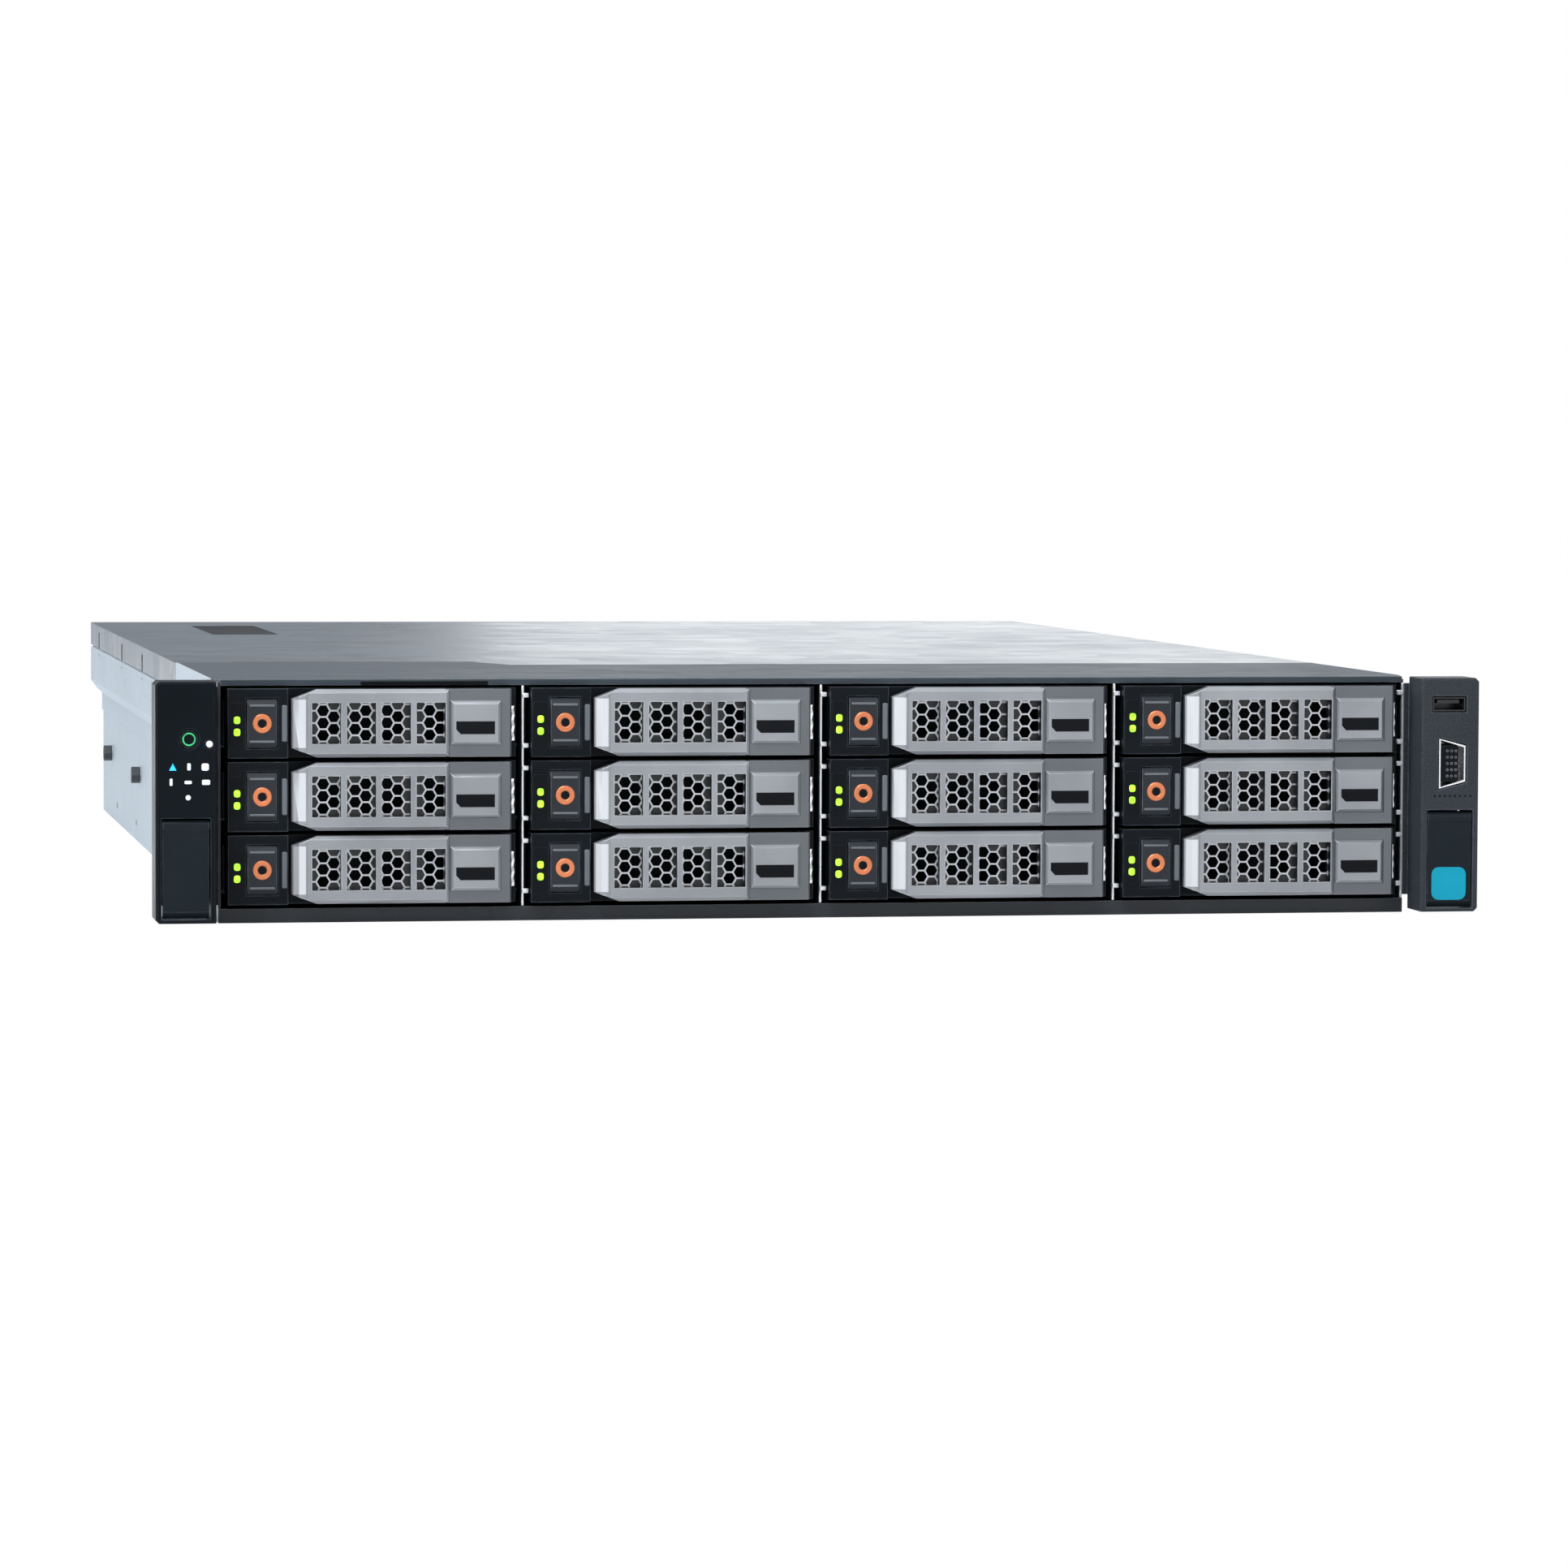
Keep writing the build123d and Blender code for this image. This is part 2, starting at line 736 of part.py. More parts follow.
def release_button():
    """One release button about its own row and column centre, bevelled above and below."""
    tall = release_height / 2
    side = outline(
        (release_front + release_bevel, tall), (release_front, tall - release_bevel * 1.6),
        (release_front, -tall + release_bevel * 1.6), (release_front + release_bevel, -tall),
        (release_back, -tall), (release_back, tall))
    return along_x(side, release_x - release_width / 2, release_x + release_width / 2)


def drives():
    """Twelve drives, with their handles and release buttons, numbered from the top left."""
    bezel, disk = drive_body()
    handle = handle_body()
    button = release_button()
    number = 0
    for z in row_centres:
        for x in column_centres:
            number += 1
            place = Pos(x, 0, z)
            write(f"drive_{number:02d}", place * bezel, place * disk)
            write(f"handle_{number:02d}", place * handle)
            write(f"release_button_{number:02d}", place * button)


def fan_centres():
    """The fans' axes, as X and Z."""
    return [((index - (fans - 1) / 2) * fan_pitch, steel + fan_size / 2) for index in range(fans)]


def fan_wall():
    """The fan wall: four square housings with round ducts and struts, side by side."""
    hub_front = fan_back - strut_depth
    duct = RegularPolygon(fan_bore / 2, duct_sides)
    frames = Sketch() + [Pos(x, z) * (Rectangle(fan_size, fan_size) - duct) for x, z in fan_centres()]
    plate = span(-inner_side, inner_side, steel, steel + fan_size)
    plate -= [Pos(x, z) * Rectangle(fan_size, fan_size) for x, z in fan_centres()]
    wall = along_y(frames, fan_front, fan_back) + along_y(plate, fan_front, fan_front + steel)
    for x, z in fan_centres():
        strut = Pos(x, z) * Rectangle(fan_bore, strut_width)
        boss = Pos(x, z) * Rectangle(hub_radius, hub_radius)
        wall += along_y(strut + boss, hub_front, fan_back)
        wall += along_y(Pos(x, z) * RegularPolygon(shaft_radius, 6), hub_front - hub_length / 2, hub_front)
    return wall


def fan_rotor(x, z):
    """One fan's hub and blades, turning on the housing's shaft."""
    back = fan_back - strut_depth - play
    front = back - hub_length
    rotor = along_y(RegularPolygon(hub_radius, 2 * blades), front, back)
    lean = hub_length * sin(radians(blade_angle)) / 2
    for index in range(blades):
        section = outline(
            (-lean, back - blade_end), (-lean + blade_thickness, back - blade_end), (lean, front + blade_end),
            (lean - blade_thickness, front + blade_end))
        blade = along_z(section, hub_radius * 0.9, rotor_radius)
        rotor += Rot(0, 360 / blades * (index + 0.25), 0) * blade
    rotor -= along_y(RegularPolygon(shaft_radius / cos(radians(30)) + play, 6), back - hub_length / 2 - play, back + 1)
    return Pos(x, 0, z) * rotor


def motherboard():
    """The main board, cut away for the power supplies, on hexagonal posts, with sockets."""
    side = inner_side - board_side
    notch = supply_right + board_notch_gap
    notch_front = supply_front - board_notch_front
    shape = outline(
        (-side, board_front), (side, board_front), (side, board_back), (notch, board_back), (notch, notch_front),
        (-side, notch_front))
    board = along_z(shape, board_height, board_top)
    reach = side - post_inset
    posts = [(x, y) for x in (-reach, 0, reach) for y in (board_front + post_inset, notch_front - post_inset)]
    posts += [(notch + post_inset, board_back - rear_post_inset), (reach, board_back - rear_post_inset)]
    for place in posts:
        board += along_z(Pos(*place) * RegularPolygon(post_radius, 6), steel, board_height)
    for x in cooler_centres():
        seat = span(x - cooler_width / 3, x + cooler_width / 3, cooler_front + cooler_foot_inset,
                    cooler_front + cooler_length - cooler_foot_inset)
        board += along_z(seat, board_top, board_top + cooler_foot)
    half = (modules_per_side - 1) / 2 * module_pitch + module_thickness
    start = cooler_front - module_lead - socket_end
    for x in cooler_centres():
        for middle in (x - module_reach - half + module_thickness, x + module_reach + half - module_thickness):
            sockets = span(middle - half, middle + half, start, start + module_length + 2 * socket_end)
            board += along_z(sockets, board_top, board_top + socket_height)
    for index in range(jacks):
        x = first_jack_x + index * jack_pitch
        jack = span(x - jack_width / 2, x + jack_width / 2, board_top, board_top + jack_height)
        board += along_y(jack, board_back - jack_depth, board_back)
        board -= along_y(jack_hole(x), board_back - jack_hole_depth, board_back + 1)
    half = rear_video_width / 2
    video = span(rear_video_x - half, rear_video_x + half, board_top, board_top + rear_video_height)
    return board + along_y(video, board_back - rear_video_depth, board_back)


def jack_hole(x):
    """A network jack's mouth, the same in its shell and in the rear panel."""
    half = jack_width / 2 - jack_side
    return span(x - half, x + half, board_top + jack_side, board_top + jack_height - jack_top)


def cooler_centres():
    """The two processors' places across the board."""
    return (-cooler_spacing / 2, cooler_spacing / 2)


def module_places():
    """Every memory module's place across the board, on both sides of each cooler."""
    places = []
    for x in cooler_centres():
        for index in range(modules_per_side):
            reach = module_reach + index * module_pitch
            places += [x - reach, x + reach]
    return sorted(places)


def heat_sinks():
    """Two finned coolers, their fins in line with the air."""
    coolers = []
    base = board_top + cooler_foot
    pitch = (cooler_width - fin_thickness) / (cooler_fins - 1)
    for x in cooler_centres():
        left = x - cooler_width / 2
        comb = span(left, left + cooler_width, base, base + cooler_base)
        for index in range(cooler_fins):
            fin = left + index * pitch
            comb += span(fin, fin + fin_thickness, base, skin_bottom - cooler_head_room)
        coolers.append(along_y(comb, cooler_front, cooler_front + cooler_length))
    return coolers


def memory_modules():
    """The memory modules, standing in their sockets."""
    start = cooler_front - module_lead
    modules = []
    for x in module_places():
        foot = board_top + socket_height
        card = span(x - module_thickness / 2, x + module_thickness / 2, foot, foot + module_height)
        modules.append(along_y(card, start, start + module_length))
    return modules


def power_supply(left):
    """One power supply, from its left side: case, inlet, handle and release tab."""
    right, top = left + supply_width, supply_base + supply_height
    middle = (supply_base + top) / 2
    case = along_y(span(left, right, supply_base, top), supply_front, depth)
    inlet = Pos(right - inlet_width / 2 - inlet_inset, middle)
    core = Rectangle(inlet_width - 2 * inlet_core_side, inlet_height - 2 * inlet_core_end)
    case -= along_y(inlet * Rectangle(inlet_width, inlet_height), depth - inlet_depth, depth + 1)
    case += along_y(inlet * core, depth - inlet_depth, depth - inlet_core_sink)
    grille_x = left + fan_grille_radius + fan_grille_inset
    grille = Pos(grille_x, middle) * RegularPolygon(fan_grille_radius, 2 * few_sides)
    case -= along_y(grille, depth - fan_grille_depth, depth + 1)
    half, thick = supply_handle_span / 2, supply_handle_thickness
    strap = span(depth, depth + supply_handle_reach, middle - thick, middle + thick)
    hollow = span(depth, depth + supply_handle_reach - 2 * thick, middle - 2 * thick, middle + 2 * thick)
    grip = along_x(strap, grille_x - half, grille_x + half)
    grip -= along_x(hollow, grille_x - half + thick, grille_x + half - thick)
    tab_left, tab_low = left + tab_inset, supply_base + tab_lift
    tab = span(tab_left, tab_left + tab_width, tab_low, tab_low + tab_thickness)
    return case + grip + along_y(tab, depth, depth + tab_length)


def rear_panel():
    """The stepped rear wall, open for the supplies, sockets, expansion slots and two rear bays."""
    shelf = flare_low + steel
    low = span(-inner_side, inner_side, steel, shelf + steel)
    top = supply_base + supply_height + play
    low -= span(supply_left - play, supply_right + play, supply_base - play, top)
    for index in range(jacks):
        low -= jack_hole(first_jack_x + index * jack_pitch)
    half = rear_video_width / 2 - rear_video_side
    low -= span(rear_video_x - half, rear_video_x + half, board_top + rear_video_sill,
                board_top + rear_video_height - rear_video_sill)
    flare = flare_high + steel
    high = span(-upper_inner, upper_inner, flare, wall_top) + span(-inner_side, inner_side, shelf, flare)
    for index in range(2):
        left = supply_left + index * (bay_width + bay_gap)
        high -= span(left, left + bay_width, shelf + bay_gap, shelf + bay_gap + bay_height)
        left = slot_left + index * (slot_width + slot_gap)
        high -= span(left, left + slot_width, shelf + slot_sill, shelf + slot_sill + slot_height)
    panel = along_y(low, depth - steel, depth)
    panel += along_y(high, upper_depth - steel, upper_depth)
    return panel + along_z(span(-inner_side, inner_side, depth - steel, upper_depth), shelf, shelf + steel)


write("chassis", chassis())
write("front_top_panel", front_top_panel())
write("top_cover", top_cover())
write("cover_latch", cover_latch())
write("drive_cage", drive_cage())
write("backplane", backplane())
ears_and_latches()
write("front_ports", *front_ports())
write("power_button", push_button(power_x, power_z, power_radius))
write("id_button", push_button(id_x, id_z, id_radius))
drives()
write("fan_wall", fan_wall())
for number, centre in enumerate(fan_centres(), 1):
    write(f"fan_rotor_{number}", fan_rotor(*centre))
write("motherboard", motherboard())
write("heat_sinks", *heat_sinks())
write("memory_modules", *memory_modules())
write("psu_1", power_supply(supply_left))
write("psu_2", power_supply(supply_left + supply_width + supply_gap))
write("rear_panel", rear_panel())
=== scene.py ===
"""The looks of a rack server, two units high: finishes, lamps, springs, signs and small fittings."""

import logging
from abc import ABC, abstractmethod
from collections.abc import Sequence
from dataclasses import dataclass, field
from enum import Enum
from functools import cache
from math import cos, radians, sin

import bmesh
import bpy
import numpy as np
from mathutils import Matrix, Vector


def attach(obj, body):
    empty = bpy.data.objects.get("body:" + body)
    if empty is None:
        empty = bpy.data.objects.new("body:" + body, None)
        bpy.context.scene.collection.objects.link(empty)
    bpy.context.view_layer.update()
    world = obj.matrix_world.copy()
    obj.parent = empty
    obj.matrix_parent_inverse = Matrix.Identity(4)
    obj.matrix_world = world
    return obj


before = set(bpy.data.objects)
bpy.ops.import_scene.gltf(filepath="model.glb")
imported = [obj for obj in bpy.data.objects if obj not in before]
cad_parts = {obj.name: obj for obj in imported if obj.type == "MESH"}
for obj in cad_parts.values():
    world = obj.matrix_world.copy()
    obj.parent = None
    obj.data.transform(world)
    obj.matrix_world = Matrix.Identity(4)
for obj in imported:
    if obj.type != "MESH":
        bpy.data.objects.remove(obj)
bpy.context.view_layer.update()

log = logging.getLogger("server")
logging.basicConfig(level=logging.INFO, format="%(message)s")

Colour = tuple[float, float, float]
Limits = tuple[float, float, float, float]
Socket = bpy.types.NodeSocket
MM = 0.001
COSINE_30 = 0.8660
ROOT_3 = 1.732
EDGE_RADIUS = 0.0005
WELD = 0.00001
SHARP, BROKEN = radians(32), radians(28)
STEEL: Colour = (0.37, 0.43, 0.48)


class Facing(Enum):
    """The way a raised shape looks, and so the plane that its outline lies in."""

    FRONT = "front"
    TOP = "top"
    SIDE = "side"


@dataclass
class Shell:
    """A surface in millimetres, before it becomes a piece."""

    points: np.ndarray
    faces: list[np.ndarray]

    def moved(self, x: float = 0.0, y: float = 0.0, z: float = 0.0) -> "Shell":
        """The same surface, shifted."""
        return Shell(self.points + np.array([x, y, z]), self.faces)

    def repeated(self, places: np.ndarray) -> "Shell":
        """A copy of the surface at each place.

        Args:
            places: One row of three distances for each copy.

        Returns:
            One surface that holds all the copies.
        """
        points = (self.points[None, :, :] + places[:, None, :]).reshape(-1, 3)
        step = np.arange(len(places))[:, None, None] * len(self.points)
        faces = [(block[None, :, :] + step).reshape(-1, block.shape[1]) for block in self.faces]
        return Shell(points, faces)


def joined(shells: Sequence[Shell]) -> Shell:
    """One surface made of several.

    Args:
        shells: The surfaces, which may lie apart.

    Returns:
        A surface with all their points and faces.
    """
    points, faces, start = [], [], 0
    for shell in shells:
        points.append(shell.points)
        faces += [block + start for block in shell.faces]
        start += len(shell.points)
    return Shell(np.concatenate(points), faces)


@dataclass(frozen=True)
class Outline(ABC):
    """A closed outline about a centre, which can be drawn smaller by an inset."""

    @abstractmethod
    def edge(self, inset: float) -> np.ndarray:
        """The outline's points.

        Args:
            inset: How much smaller the outline is on every side.

        Returns:
            Two distances from the centre for each point.
        """


@dataclass(frozen=True)
class Disc(Outline):
    """A round outline."""

    radius: float
    sides: int = 20

    def edge(self, inset: float) -> np.ndarray:
        """Points at even turns round the centre."""
        turn = np.linspace(0, 2 * np.pi, self.sides, endpoint=False) + np.pi / self.sides
        return (self.radius - inset) * np.stack([np.cos(turn), np.sin(turn)], axis=1)


@dataclass(frozen=True)
class Panel(Outline):
    """A rectangle with rounded corners."""

    width: float
    height: float
    corner: float = 0.4
    arcs: int = 4

    def edge(self, inset: float) -> np.ndarray:
        """Quarter circles about the four corner centres, one after another.

        Args:
            inset: How much smaller the outline is on every side.

        Returns:
            Two distances from the centre for each point.
        """
        radius = max(self.corner - inset, 0.02)
        reach = np.array([self.width / 2 - inset - radius, self.height / 2 - inset - radius])
        turn = np.linspace(0, np.pi / 2, self.arcs)
        arc = radius * np.stack([np.cos(turn), np.sin(turn)], axis=1)
        quarters = []
        for index, (side, rise) in enumerate(((1, 1), (-1, 1), (-1, -1), (1, -1))):
            cosine, sine = cos(index * np.pi / 2), sin(index * np.pi / 2)
            turned = arc @ np.array([[cosine, sine], [-sine, cosine]])
            quarters.append(turned + reach * np.array([side, rise]))
        return np.concatenate(quarters)


@dataclass(frozen=True)
class Corners(Outline):
    """An outline given by its corners, drawn smaller towards the centre."""

    points: tuple[tuple[float, float], ...]

    def edge(self, inset: float) -> np.ndarray:
        """The corners, each pulled in by the inset along both directions."""
        corners = np.array(self.points)
        return corners - np.sign(corners) * inset


def placed(flat: np.ndarray, depth: float, facing: Facing) -> np.ndarray:
    """Puts an outline's points in space.

    Args:
        flat: Two distances for each point.
        depth: The place along the way the shape faces.
        facing: The plane that the outline lies in.

    Returns:
        Three distances for each point.
    """
    first, second, third = flat[:, 0], flat[:, 1], np.full(len(flat), depth)
    if facing is Facing.FRONT:
        return np.stack([first, third, second], axis=1)
    if facing is Facing.TOP:
        return np.stack([first, second, third], axis=1)
    return np.stack([third, first, second], axis=1)


def loft(rows: np.ndarray, closed: bool = False) -> Shell:
    """Joins sections into a surface: quads between each row of points and the next, capped at the ends.

    Args:
        rows: Sections by points by three distances, each section running the same way round.
        closed: Joins the last section to the first, in place of the caps.

    Returns:
        The closed surface.
    """
    count, corners = rows.shape[:2]
    row = np.arange(count if closed else count - 1)[:, None]
    corner = np.arange(corners)[None, :]
    following, upper = (corner + 1) % corners, (row + 1) % count
    quads = np.stack([row * corners + corner, row * corners + following,
                      upper * corners + following, upper * corners + corner], axis=-1).reshape(-1, 4)
    faces = [quads]
    if not closed:
        faces += [np.arange(corners)[None, ::-1], (np.arange(corners) + (count - 1) * corners)[None, :]]
    return Shell(rows.reshape(-1, 3), faces)


def raised(outline: Outline, steps: Sequence[tuple[float, float]], facing: Facing = Facing.FRONT) -> Shell:
    """A shape whose outline rises in steps, each with its own inset.

    Args:
        outline: The shape's outline.
        steps: A depth and an inset for each step, from the back to the front.
        facing: The way the shape looks.

    Returns:
        The closed surface about its own centre.
    """
    return loft(np.stack([placed(outline.edge(inset), depth, facing) for depth, inset in steps]))


def plate(outline: Outline, back: float, front: float, bevel: float, facing: Facing = Facing.FRONT) -> Shell:
    """A flat shape with a bevelled front edge, as three steps of one outline.

    Args:
        outline: The shape's outline.
        back: The depth of its back.
        front: The depth of its front, on either side of the back.
        bevel: The width of the bevel.
        facing: The way the shape looks.

    Returns:
        The closed surface about its own centre.
    """
    edge = front + bevel * (1 if back > front else -1)
    return raised(outline, ((back, 0.0), (edge, 0.0), (front, bevel)), facing)


def hoop(radius: float, width: float, back: float, front: float, sides: int = 28) -> Shell:
    """A flat ring that faces the front: its small section carried round a circle.

    Args:
        radius: The middle of the ring's band.
        width: The band's width.
        back: The depth of its back.
        front: The depth of its front.
        sides: How many sections go round.

    Returns:
        The closed surface.
    """
    half, bevel = width / 2, width / 5
    section = np.array([(-half, back), (half, back), (half, front + bevel), (half - bevel, front),
                        (-half + bevel, front), (-half, front + bevel)])
    turn = np.linspace(0, 2 * np.pi, sides, endpoint=False)[:, None]
    reach = radius + section[None, :, 0]
    depth = np.broadcast_to(section[None, :, 1], (sides, len(section)))
    return loft(np.stack([reach * np.cos(turn), depth, reach * np.sin(turn)], axis=-1), closed=True)


def ribbon(path: np.ndarray, wide: tuple[float, float, float], thick: tuple[float, float, float]) -> Shell:
    """A strip of sheet carried along a path.

    Args:
        path: The path's points, each with three distances.
        wide: The strip's width, as a direction times its size.
        thick: The strip's thickness, in the same way.

    Returns:
        The closed surface.
    """
    across, up = np.array(wide) / 2, np.array(thick) / 2
    section = np.stack([-across - up, across - up, across + up, -across + up])
    return loft(path[:, None, :] + section[None, :, :])


def grid(across: np.ndarray | float, up: np.ndarray | float) -> np.ndarray:
    """Places in columns and rows on a plane that faces the front.

    Args:
        across: The columns' distances, or one.
        up: The rows' heights, or one.

    Returns:
        Three distances for each place, row by row.
    """
    columns, rows = np.meshgrid(np.atleast_1d(across), np.atleast_1d(up))
    return np.stack([columns.ravel(), np.zeros(columns.size), rows.ravel()], axis=1)


class Nodes:
    """A node tree while it is put together."""

    def __init__(self, tree: bpy.types.NodeTree) -> None:
        """Takes up a tree.

        Args:
            tree: The tree, with the nodes that it starts with.
        """
        self.tree = tree
        self.texture = tree.nodes.new("ShaderNodeTexCoord")
        self.where = self.texture.outputs["Object"]

    def add(self, kind: str, **links: "Socket | float") -> bpy.types.Node:
        """Adds a node and feeds its inputs.

        Args:
            kind: The node's type.
            links: A socket or a number for each input, by name.

        Returns:
            The node.
        """
        node = self.tree.nodes.new(kind)
        for label, value in links.items():
            self.feed(node, label.replace("_", " "), value)
        return node

    def feed(self, node: bpy.types.Node, label: str, value: "Socket | float | Colour") -> None:
        """Gives one input its socket, its number or its colour.

        Args:
            node: The node.
            label: The input's name.
            value: What it takes.
        """
        socket = node.inputs[label]
        if isinstance(value, bpy.types.NodeSocket):
            self.tree.links.new(value, socket)
        elif isinstance(value, tuple) and len(value) == 3 and socket.type == "RGBA":
            socket.default_value = (*value, 1.0)
        else:
            socket.default_value = value

    def effect(self, group: bpy.types.NodeTree, **values: float) -> bpy.types.Node:
        """Places a shared effect with its own values.

        Args:
            group: The effect's group.
            values: A number for each input, by name.

        Returns:
            The node that holds the group.
        """
        node = self.tree.nodes.new("ShaderNodeGroup")
        node.node_tree = group
        for label, value in values.items():
            node.inputs[label.replace("_", " ")].default_value = value
        return node

    def vector(self, operation: str, first: Socket, second: Socket) -> bpy.types.Node:
        """Works out a vector or a number from two vectors.

        Args:
            operation: The name of the sum, as the Vector Math node has it.
            first: The first vector.
            second: The second one.

        Returns:
            The node, whose output depends on the sum.
        """
        node = self.tree.nodes.new("ShaderNodeVectorMath")
        node.operation = operation
        self.tree.links.new(first, node.inputs[0])
        self.tree.links.new(second, node.inputs[1])
        return node

    def math(self, operation: str, first: "Socket | float", second: "Socket | float" = 0.0) -> Socket:
        """Works out one number from two.

        Args:
            operation: The name of the sum, as the Math node has it.
            first: The first socket or number.
            second: The second one.

        Returns:
            The result's socket.
        """
        node = self.tree.nodes.new("ShaderNodeMath")
        node.operation = operation
        for index, value in enumerate((first, second)):
            if isinstance(value, bpy.types.NodeSocket):
                self.tree.links.new(value, node.inputs[index])
            else:
                node.inputs[index].default_value = value
        return node.outputs[0]

    def spread(self, value: Socket, low: float, high: float, start: float = 0.0, end: float = 1.0) -> Socket:
        """Maps one range of a value to another, held at both ends.

        Args:
            value: The value.
            low: The range's start.
            high: The range's end.
            start: What the low end becomes.
            end: What the high end becomes.

        Returns:
            The mapped value.
        """
        node = self.add("ShaderNodeMapRange", Value=value)
        for label, number in (("From Min", low), ("From Max", high), ("To Min", start), ("To Max", end)):
            node.inputs[label].default_value = number
        return node.outputs["Result"]

    def blend(self, mask: Socket, under: "Socket | Colour", over: "Socket | Colour") -> Socket:
        """Mixes two colours by a mask.

        Args:
            mask: How much of the upper colour shows.
            under: The lower colour.
            over: The upper colour.

        Returns:
            The mixed colour.
        """
        node = self.tree.nodes.new("ShaderNodeMix")
        node.data_type = "RGBA"
        self.tree.links.new(mask, node.inputs[0])
        for index, value in ((6, under), (7, over)):
            if isinstance(value, bpy.types.NodeSocket):
                self.tree.links.new(value, node.inputs[index])
            else:
                node.inputs[index].default_value = (*value, 1.0)
        return node.outputs[2]

    def axes(self) -> dict[str, Socket]:
        """The object coordinates one by one, in metres."""
        parts = self.add("ShaderNodeSeparateXYZ", Vector=self.where)
        return {axis: parts.outputs[axis] for axis in "XYZ"}

    def within(self, value: Socket, low: float, high: float) -> Socket:
        """A mask that is 1 between two limits."""
        return self.both(self.math("GREATER_THAN", value, low), self.math("LESS_THAN", value, high))

    def both(self, first: Socket, second: "Socket | float") -> Socket:
        """A mask that is 1 where both masks are, or one mask made weaker by a share."""
        return self.math("MULTIPLY", first, second)

    def apart(self, value: Socket) -> Socket:
        """A distance without its sign."""
        return self.math("ABSOLUTE", value)

    def wrapped(self, value: Socket, start: float, pitch: float) -> Socket:
        """A distance from the middle of its own repeat, for repeats of one pitch from a start."""
        cell = self.math("ADD", self.math("DIVIDE", self.math("SUBTRACT", value, start), pitch), 100.0)
        return self.math("MULTIPLY", self.math("SUBTRACT", self.math("FRACT", cell), 0.5), pitch)

    def cells(self, across: Socket, along: Socket, pitch: float, half: float) -> Socket:
        """A mask of the hexagons of a honeycomb, from two rectangular grids of them.

        Args:
            across: The distance across the columns of cells.
            along: The distance along a column.
            pitch: The distance between cells in a column.
            half: Half of a cell's height.

        Returns:
            1 in a cell and 0 on the webs.
        """
        step, nearest = pitch * COSINE_30, None
        for shift in (0.0, 1.0):
            side = self.apart(self.wrapped(across, (shift - 1.0) * step, 2 * step))
            rise = self.apart(self.wrapped(along, (shift - 1.0) * pitch / 2, pitch))
            slant = self.math("ADD", self.math("MULTIPLY", side, COSINE_30), self.math("MULTIPLY", rise, 0.5))
            reach = self.math("MAXIMUM", rise, slant)
            nearest = reach if nearest is None else self.math("MINIMUM", nearest, reach)
        return self.math("LESS_THAN", nearest, half)

    def holes(self, across: Socket, along: Socket, pitch: float, radius: float) -> Socket:
        """A mask of round holes in staggered rows: the nearer of two square grids half a step apart.

        Args:
            across: The distance across the columns of holes.
            along: The distance along a column.
            pitch: The distance between neighbours.
            radius: A hole's radius.

        Returns:
            1 in a hole and 0 on the sheet.
        """
        nearest = None
        for shift in (0.0, 0.5):
            squares = []
            for value, step in ((across, pitch), (along, pitch * ROOT_3)):
                cell = self.math("ADD", self.math("DIVIDE", value, step), 100.0 + shift)
                offset = self.math("SUBTRACT", self.math("FRACT", cell), 0.5)
                squares.append(self.math("POWER", self.math("MULTIPLY", offset, step), 2.0))
            total = self.math("ADD", squares[0], squares[1])
            nearest = total if nearest is None else self.math("MINIMUM", nearest, total)
        return self.math("LESS_THAN", nearest, radius * radius)

    def mixed(self, share: Socket, under: bpy.types.Node, over: bpy.types.Node, output: str) -> None:
        """Sends a mix of two shaders to the output.

        Args:
            share: How much of the upper one there is.
            under: The lower shader.
            over: The upper shader.
            output: The output node's name.
        """
        mix = self.tree.nodes.new("ShaderNodeMixShader")
        self.tree.links.new(share, mix.inputs[0])
        self.tree.links.new(under.outputs[0], mix.inputs[1])
        self.tree.links.new(over.outputs[0], mix.inputs[2])
        self.tree.links.new(mix.outputs[0], self.tree.nodes[output].inputs["Surface"])


class Group(Nodes):
    """A shared node group while it is put together."""

    def __init__(self, name: str, inputs: dict[str, float], outputs: Sequence[str]) -> None:
        """Starts an empty group with its sockets.

        Args:
            name: The group's name.
            inputs: Each input's name and first value.
            outputs: The outputs' names.
        """
        tree = bpy.data.node_groups.new(name, "ShaderNodeTree")
        for label, value in inputs.items():
            socket = tree.interface.new_socket(label, in_out="INPUT", socket_type="NodeSocketFloat")
            socket.default_value = value
        for label in outputs:
            tree.interface.new_socket(label, in_out="OUTPUT", socket_type="NodeSocketFloat")
        super().__init__(tree)
        self.given = tree.nodes.new("NodeGroupInput").outputs
        self.results = tree.nodes.new("NodeGroupOutput").inputs

    def give(self, label: str, value: Socket) -> None:
        """Sends a value to one of the group's outputs."""
        self.tree.links.new(value, self.results[label])


